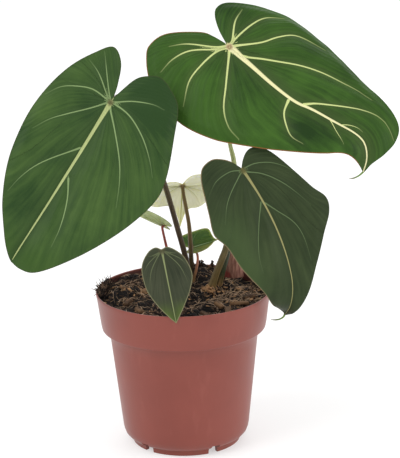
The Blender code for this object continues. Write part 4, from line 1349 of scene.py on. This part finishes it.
def make_chip(index):
    """A rough bark chip in the place and pose of its CAD node."""
    node = "bark_chip_%02d" % index
    shape = bmesh.new()
    shape.from_mesh(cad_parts[node].data)
    bmesh.ops.remove_doubles(shape, verts=shape.verts, dist=0.00001)
    bmesh.ops.subdivide_edges(shape, edges=shape.edges[:], cuts=3, use_grid_fill=True)
    shape.normal_update()
    for vertex in shape.verts:
        rough = noise.fractal(vertex.co / MM / CHIP_ROUGH_SIZE, 1.0, 2.0, 3)
        vertex.co += vertex.normal * rough * CHIP_ROUGH_HEIGHT * MM
    mesh = bpy.data.meshes.new("rough_" + node)
    shape.to_mesh(mesh)
    shape.free()
    tone = 0.35 + 0.5 * ((index * 37) % 10) / 10
    give_values(mesh, "tone", np.full(len(mesh.vertices), tone))
    mesh.materials.clear()
    mesh.materials.append(CHIP_FINISH)
    mesh.polygons.foreach_set("use_smooth", np.ones(len(mesh.polygons), bool))
    return place(mesh, node)


# Sheath ----------------------------------------------------------------------------------------

# In millimetres: the curl is the radius it is rolled to, and the lean is how far its top is shifted
SHEATH_FOOT = (35.0, 33.0)
SHEATH_WIDTH = 17.0
SHEATH_CURL = 9.0
SHEATH_LEAN = (1.5, -4.0)
SHEATH_THICKNESS = 0.45


def make_sheath():
    """A dry curled leaf sheath with a ragged, papery edge."""
    low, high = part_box("sheath")
    height = (high.z - low.z) / MM
    rows, columns = 60, 36
    points, faces = [], []
    for row in range(rows + 1):
        rise = row / rows
        half = SHEATH_WIDTH / 2 * (1 - 0.92 * rise ** 1.3)
        half *= 1 + 0.10 * noise.noise(Vector((rise * 9, 3.0, 0)))
        for column in range(columns + 1):
            share = 2 * column / columns - 1
            angle = share * half / SHEATH_CURL
            ruck = 0.35 * sin(share * 16) + 0.5 * noise.noise(Vector((share * 3, rise * 5, 2)))
            curl = SHEATH_CURL + ruck
            x = SHEATH_FOOT[0] + curl * sin(angle) + SHEATH_LEAN[0] * rise
            y = SHEATH_FOOT[1] + curl * (1 - cos(angle)) + SHEATH_LEAN[1] * rise + ruck * 0.5
            points.append((x, y, low.z / MM + rise * height))
    across = columns + 1
    for row in range(rows):
        for a in range(row * across, row * across + columns):
            faces.append((a, a + 1, a + across + 1, a + across))
    mesh = mesh_of("dry_sheath", points, faces)
    mesh.materials.append(sheath_finish())
    obj = place(mesh, "sheath")
    thicken = obj.modifiers.new("thicken", "SOLIDIFY")
    thicken.thickness = SHEATH_THICKNESS * MM
    thicken.offset = 0.0
    return obj


def sheath_finish():
    finish, tree, shader = new_finish("dry sheath", Specular_IOR_Level=0.3)
    place_at = own_place(tree)
    long_way = add(tree, "Mapping", {"Vector": place_at, "Scale": (1.0, 1.0, 0.12)}).outputs[0]
    streak = cloud(tree, long_way, 900.0, 3.0, 0.6)
    patch = cloud(tree, place_at, 90.0, 2.0, 0.5)
    colour = blend(tree, between(tree, streak, 0.35, 0.65), paint((138, 94, 82)),
                   paint((172, 124, 108)))
    colour = blend(tree, times(tree, between(tree, patch, 0.56, 0.64), 0.7), colour,
                   paint((136, 40, 44)))
    wire_surface(tree, shader, colour, between(tree, streak, 0.3, 0.7, 0.5, 0.75), streak, 0.0004)
    return finish


# Pot -------------------------------------------------------------------------------------------

# Sizes of the moulded pot, in millimetres and degrees
COLLAR_HEIGHT = 26.0
COLLAR_FOOT_RADIUS = 56.6
WALL_TOP_RADIUS = 51.6
WALL_FOOT_RADIUS = 43.9
WALL_FOOT_HEIGHT = 12.4
FOOT_RADIUS = 37.5
FOOT_HEIGHT = 4.0
FOOT_WIDTH = 3.0
POT_WALL = 1.2
FLOOR_UNDERSIDE = 7.5
PAD_RADIUS = 9.0
NOTCH_COUNT = 5
NOTCH_WIDTH = 6.0
NOTCH_HEIGHT = 7.0
NOTCH_FIRST_ANGLE = 11.0


def pot_profile():
    """(radius, height) from the inside floor up over the rim, down the outside and under."""
    collar_foot = POT_HEIGHT - COLLAR_HEIGHT
    floor_top = FLOOR_UNDERSIDE + POT_WALL
    inside = [(0, floor_top), (FOOT_RADIUS - 1.0, floor_top),
              (WALL_FOOT_RADIUS - POT_WALL - 1.4, floor_top + 3.4),
              (WALL_FOOT_RADIUS - POT_WALL + 0.2, WALL_FOOT_HEIGHT + 3.0),
              (WALL_TOP_RADIUS - POT_WALL, collar_foot + 0.9),
              (COLLAR_FOOT_RADIUS - POT_WALL, collar_foot + 1.6),
              (RIM_RADIUS - POT_WALL, POT_HEIGHT - 0.7)]
    bend = [radians(a) for a in (150, 110, 70, 30)]
    lip = [(RIM_RADIUS - 0.6 + 0.6 * cos(a), POT_HEIGHT - 0.6 + 0.6 * sin(a)) for a in bend]
    collar = [(RIM_RADIUS, POT_HEIGHT - 1.0), (RIM_RADIUS - 0.12, POT_HEIGHT - 2.2)]
    collar += [(RIM_RADIUS - (RIM_RADIUS - COLLAR_FOOT_RADIUS) * s, POT_HEIGHT - COLLAR_HEIGHT * s)
               for s in (0.15, 0.4, 0.65, 0.85)]
    turned = [radians(a) for a in (0, 25, 50, 75, 90)]
    collar += [(COLLAR_FOOT_RADIUS - 1.3 + 1.3 * cos(a), collar_foot + 1.3 - 1.3 * sin(a))
               for a in turned]
    collar += [(WALL_TOP_RADIUS + 0.5, collar_foot - 0.15), (WALL_TOP_RADIUS, collar_foot - 0.7)]
    wall = [(WALL_TOP_RADIUS + (WALL_FOOT_RADIUS - WALL_TOP_RADIUS) * s,
             collar_foot + (WALL_FOOT_HEIGHT - collar_foot) * s)
            for s in (0.12, 0.35, 0.6, 0.85, 1)]
    heel = [(WALL_FOOT_RADIUS - 0.5, 9.6), (WALL_FOOT_RADIUS - 1.5, 7.0),
            (WALL_FOOT_RADIUS - 3.2, 5.1), (FOOT_RADIUS + 1.2, FOOT_HEIGHT),
            (FOOT_RADIUS + 0.2, FOOT_HEIGHT - 0.6), (FOOT_RADIUS, FOOT_HEIGHT - 1.4),
            (FOOT_RADIUS - 0.1, 0.3), (FOOT_RADIUS - 0.4, 0)]
    foot_inside = FOOT_RADIUS - FOOT_WIDTH
    under = [(foot_inside + 0.3, 0), (foot_inside, 0.3), (foot_inside - 0.6, FLOOR_UNDERSIDE),
             (PAD_RADIUS + 1.0, FLOOR_UNDERSIDE), (PAD_RADIUS + 0.2, 0.4), (PAD_RADIUS, 0), (0, 0)]
    return inside + lip + collar + wall + heel + under


def make_pot():
    """The profile turned round the pot's axis, with the drainage notches cut out."""
    points, rings = [], []
    for radius, height in pot_profile():
        if radius == 0:
            rings.append([len(points)] * POT_SEGMENTS)
            points.append((0, 0, height))
            continue
        rings.append(list(range(len(points), len(points) + POT_SEGMENTS)))
        for k in range(POT_SEGMENTS):
            turn = 2 * pi * k / POT_SEGMENTS
            points.append((radius * cos(turn), radius * sin(turn), height))
    faces = []
    for upper, lower in zip(rings, rings[1:]):
        for k in range(POT_SEGMENTS):
            n = (k + 1) % POT_SEGMENTS
            corners = [upper[k], lower[k], lower[n], upper[n]]
            face = [c for i, c in enumerate(corners) if c != corners[i - 1]]
            if len(face) > 2:
                faces.append(face)
    mesh = mesh_of("nursery_pot", points, faces, smooth=False)
    mesh.materials.append(pot_finish())
    obj = place(mesh, "pot")
    cut_notches(obj)
    obj.data.shade_smooth()
    obj.data.set_sharp_from_angle(angle=radians(38))
    return obj


def cut_notches(pot):
    """Cuts the drainage notches through the foot ring and bakes the cut into the mesh."""
    near, far = FOOT_RADIUS - FOOT_WIDTH - 1.0, WALL_FOOT_RADIUS + 4.0
    cutters = []
    for index in range(NOTCH_COUNT):
        turn = radians(NOTCH_FIRST_ANGLE) + 2 * pi * index / NOTCH_COUNT
        shape = bmesh.new()
        corners = []
        for height, half in ((-1.0, NOTCH_WIDTH / 2 + 0.6), (NOTCH_HEIGHT, NOTCH_WIDTH / 2)):
            for out, across in ((near, -half), (far, -half), (far, half), (near, half)):
                x = out * cos(turn) - across * sin(turn)
                y = out * sin(turn) + across * cos(turn)
                corners.append(shape.verts.new((x * MM, y * MM, height * MM)))
        for ids in ((0, 3, 2, 1), (4, 5, 6, 7), (0, 1, 5, 4), (1, 2, 6, 5), (2, 3, 7, 6),
                    (3, 0, 4, 7)):
            shape.faces.new([corners[i] for i in ids])
        mesh = bpy.data.meshes.new("notch")
        shape.to_mesh(mesh)
        shape.free()
        cutter = bpy.data.objects.new("notch", mesh)
        bpy.context.scene.collection.objects.link(cutter)
        cutters.append(cutter)
        cut = pot.modifiers.new("notch", "BOOLEAN")
        cut.operation, cut.solver, cut.object = "DIFFERENCE", "EXACT", cutter
    evaluated = pot.evaluated_get(bpy.context.evaluated_depsgraph_get())
    baked = bpy.data.meshes.new_from_object(evaluated)
    pot.modifiers.clear()
    pot.data = baked
    for cutter in cutters:
        bpy.data.objects.remove(cutter, do_unlink=True)


# Painted shade inside the collar, from its foot to just under the lip: the inner wall is darkened to
# stand in for the shadow that falls inside the pot
INNER_SHADE_FOOT = (POT_HEIGHT - COLLAR_HEIGHT) * MM
INNER_SHADE_TOP = (POT_HEIGHT - 1.8) * MM
INNER_SHADE_FADE = 1.4 * MM


def pot_finish():
    """Thermoformed terracotta-red plastic: faint flow marks, scuffs, a dusty foot and painted shade
    inside the collar.
    """
    finish, tree, shader = new_finish("terracotta plastic", Specular_IOR_Level=0.42,
                                      Coat_Weight=0.1, Coat_Roughness=0.3)
    place_at = own_place(tree)
    long_way = add(tree, "Mapping", {"Vector": place_at, "Scale": (1.0, 1.0, 0.25)}).outputs[0]
    cloudy = cloud(tree, place_at, 22.0, 3.0, 0.5)
    flow = cloud(tree, long_way, 120.0, 3.0, 0.6)
    speck = cloud(tree, place_at, 2400.0, 2.0, 0.5)
    height = add(tree, "SeparateXYZ", {0: place_at}).outputs[2]
    colour = blend(tree, between(tree, cloudy, 0.35, 0.65), paint((124, 56, 44)),
                   paint((130, 61, 49)))
    colour = blend(tree, times(tree, between(tree, flow, 0.55, 0.75), 0.25), colour,
                   paint((146, 80, 68)))
    dust = times(tree, between(tree, height, 0.016, 0.002), between(tree, flow, 0.4, 0.7))
    colour = blend(tree, times(tree, dust, 0.3), colour, paint((104, 62, 50)))
    flat_place = add(tree, "VectorMath", {0: place_at, 1: (1.0, 1.0, 0.0)}, operation="MULTIPLY")
    out = add(tree, "VectorMath", {0: flat_place.outputs[0]}, operation="LENGTH").outputs["Value"]
    slope = (RIM_RADIUS - COLLAR_FOOT_RADIUS) / COLLAR_HEIGHT
    shell = plus(tree, times(tree, height, slope),
                 (RIM_RADIUS - slope * POT_HEIGHT - POT_WALL * 0.6) * MM)
    # Painted shade: the inner face of the collar is darkened to stand in for the shadow inside the
    # pot
    inner = calc(tree, "LESS_THAN", out, shell)
    inner_shade = times(tree, inner, between(tree, height, INNER_SHADE_TOP + INNER_SHADE_FADE, INNER_SHADE_TOP))
    inner_shade = times(tree, inner_shade, between(tree, height, INNER_SHADE_FOOT, INNER_SHADE_FOOT + 1.0 * MM))
    colour = blend(tree, times(tree, inner_shade, 0.75), colour, paint((58, 30, 28)))
    rough = between(tree, cloudy, 0.3, 0.7, 0.36, 0.46)
    bumps = plus(tree, times(tree, flow, 0.8), times(tree, speck, 0.2))
    wire_surface(tree, shader, colour, rough, bumps, 0.00008)
    return finish


# Studio ----------------------------------------------------------------------------------------

CAMERA_PLACE = Vector((0.0114, -1.4, 0.5567))
CAMERA_AIM = Vector((0.0125, 0.0, 0.1509))
CAMERA_ROLL = -0.0219
CAMERA_LENS = 167.9
SENSOR_WIDTH = 36.0
FLOOR_HALF = 6.0
WORLD_LIGHT = 0.8
BACKDROP_LIFT = 0.25
LIGHT_AIM = Vector((0, 0, 0.16))
# (name, place, size, watts), in metres
LIGHTS = (("key", (-1.1, -0.7, 1.4), 1.1, 16.0),
          ("fill", (1.35, -0.5, 0.6), 1.2, 9.0),
          ("back", (0.3, 1.4, 1.1), 1.2, 7.0))


def make_camera():
    data = bpy.data.cameras.new("camera")
    data.lens = CAMERA_LENS
    data.sensor_width = SENSOR_WIDTH
    camera = bpy.data.objects.new("camera", data)
    bpy.context.scene.collection.objects.link(camera)
    look = (CAMERA_AIM - CAMERA_PLACE).normalized()
    right = look.cross(Vector((0, 0, 1))).normalized()
    up = right.cross(look)
    level_right = right * cos(CAMERA_ROLL) + up * sin(CAMERA_ROLL)
    level_up = up * cos(CAMERA_ROLL) - right * sin(CAMERA_ROLL)
    turned = Matrix((level_right, level_up, -look)).transposed().to_4x4()
    camera.matrix_world = Matrix.Translation(CAMERA_PLACE) @ turned
    bpy.context.scene.camera = camera


def make_floor():
    """A pale floor that glows slightly, for the render only."""
    mesh = bpy.data.meshes.new("floor")
    half = FLOOR_HALF
    mesh.from_pydata([(-half, -half, 0), (half, -half, 0), (half, half, 0), (-half, half, 0)], [],
                     [(0, 1, 2, 3)])
    finish, tree, shader = new_finish("pale floor", Roughness=0.8, Specular_IOR_Level=0.1,
                                      Emission_Color=(1, 1, 1, 1), Emission_Strength=0.5)
    tone = cloud(tree, own_place(tree), 3.0)
    tree.links.new(blend(tree, tone, (0.5, 0.5, 0.5), (0.52, 0.52, 0.52)),
                   shader.inputs["Base Color"])
    mesh.materials.append(finish)
    floor = bpy.data.objects.new("floor", mesh)
    bpy.context.scene.collection.objects.link(floor)


def make_lights():
    """Soft studio light, with a backdrop that is whiter to the camera than to the plant."""
    world = bpy.data.worlds.new("studio")
    world.use_nodes = True
    tree = world.node_tree
    background = tree.nodes["Background"]
    background.inputs["Color"].default_value = (1, 1, 1, 1)
    seen = add(tree, "LightPath").outputs["Is Camera Ray"]
    strength = plus(tree, times(tree, seen, BACKDROP_LIFT), WORLD_LIGHT)
    tree.links.new(strength, background.inputs["Strength"])
    bpy.context.scene.world = world
    for name, at, size, power in LIGHTS:
        data = bpy.data.lights.new(name, "AREA")
        data.size = size
        data.energy = power
        light = bpy.data.objects.new(name, data)
        light.location = at
        light.rotation_mode = "QUATERNION"
        light.rotation_quaternion = (LIGHT_AIM - Vector(at)).to_track_quat("-Z", "Y")
        bpy.context.scene.collection.objects.link(light)


make_pot()
make_soil()
make_sheath()
for leaf_name in LEAVES:
    make_stalk(leaf_name)
    make_blade(leaf_name)
for leaf_name in DRIP_TIPS:
    make_drip_tip(leaf_name)
for chip_number in range(1, CHIP_COUNT + 1):
    make_chip(chip_number)
make_loose_bark(random.Random(7))
make_coir(random.Random(11))
make_floor()
make_lights()
make_camera()
bpy.context.scene.view_settings.view_transform = "Standard"
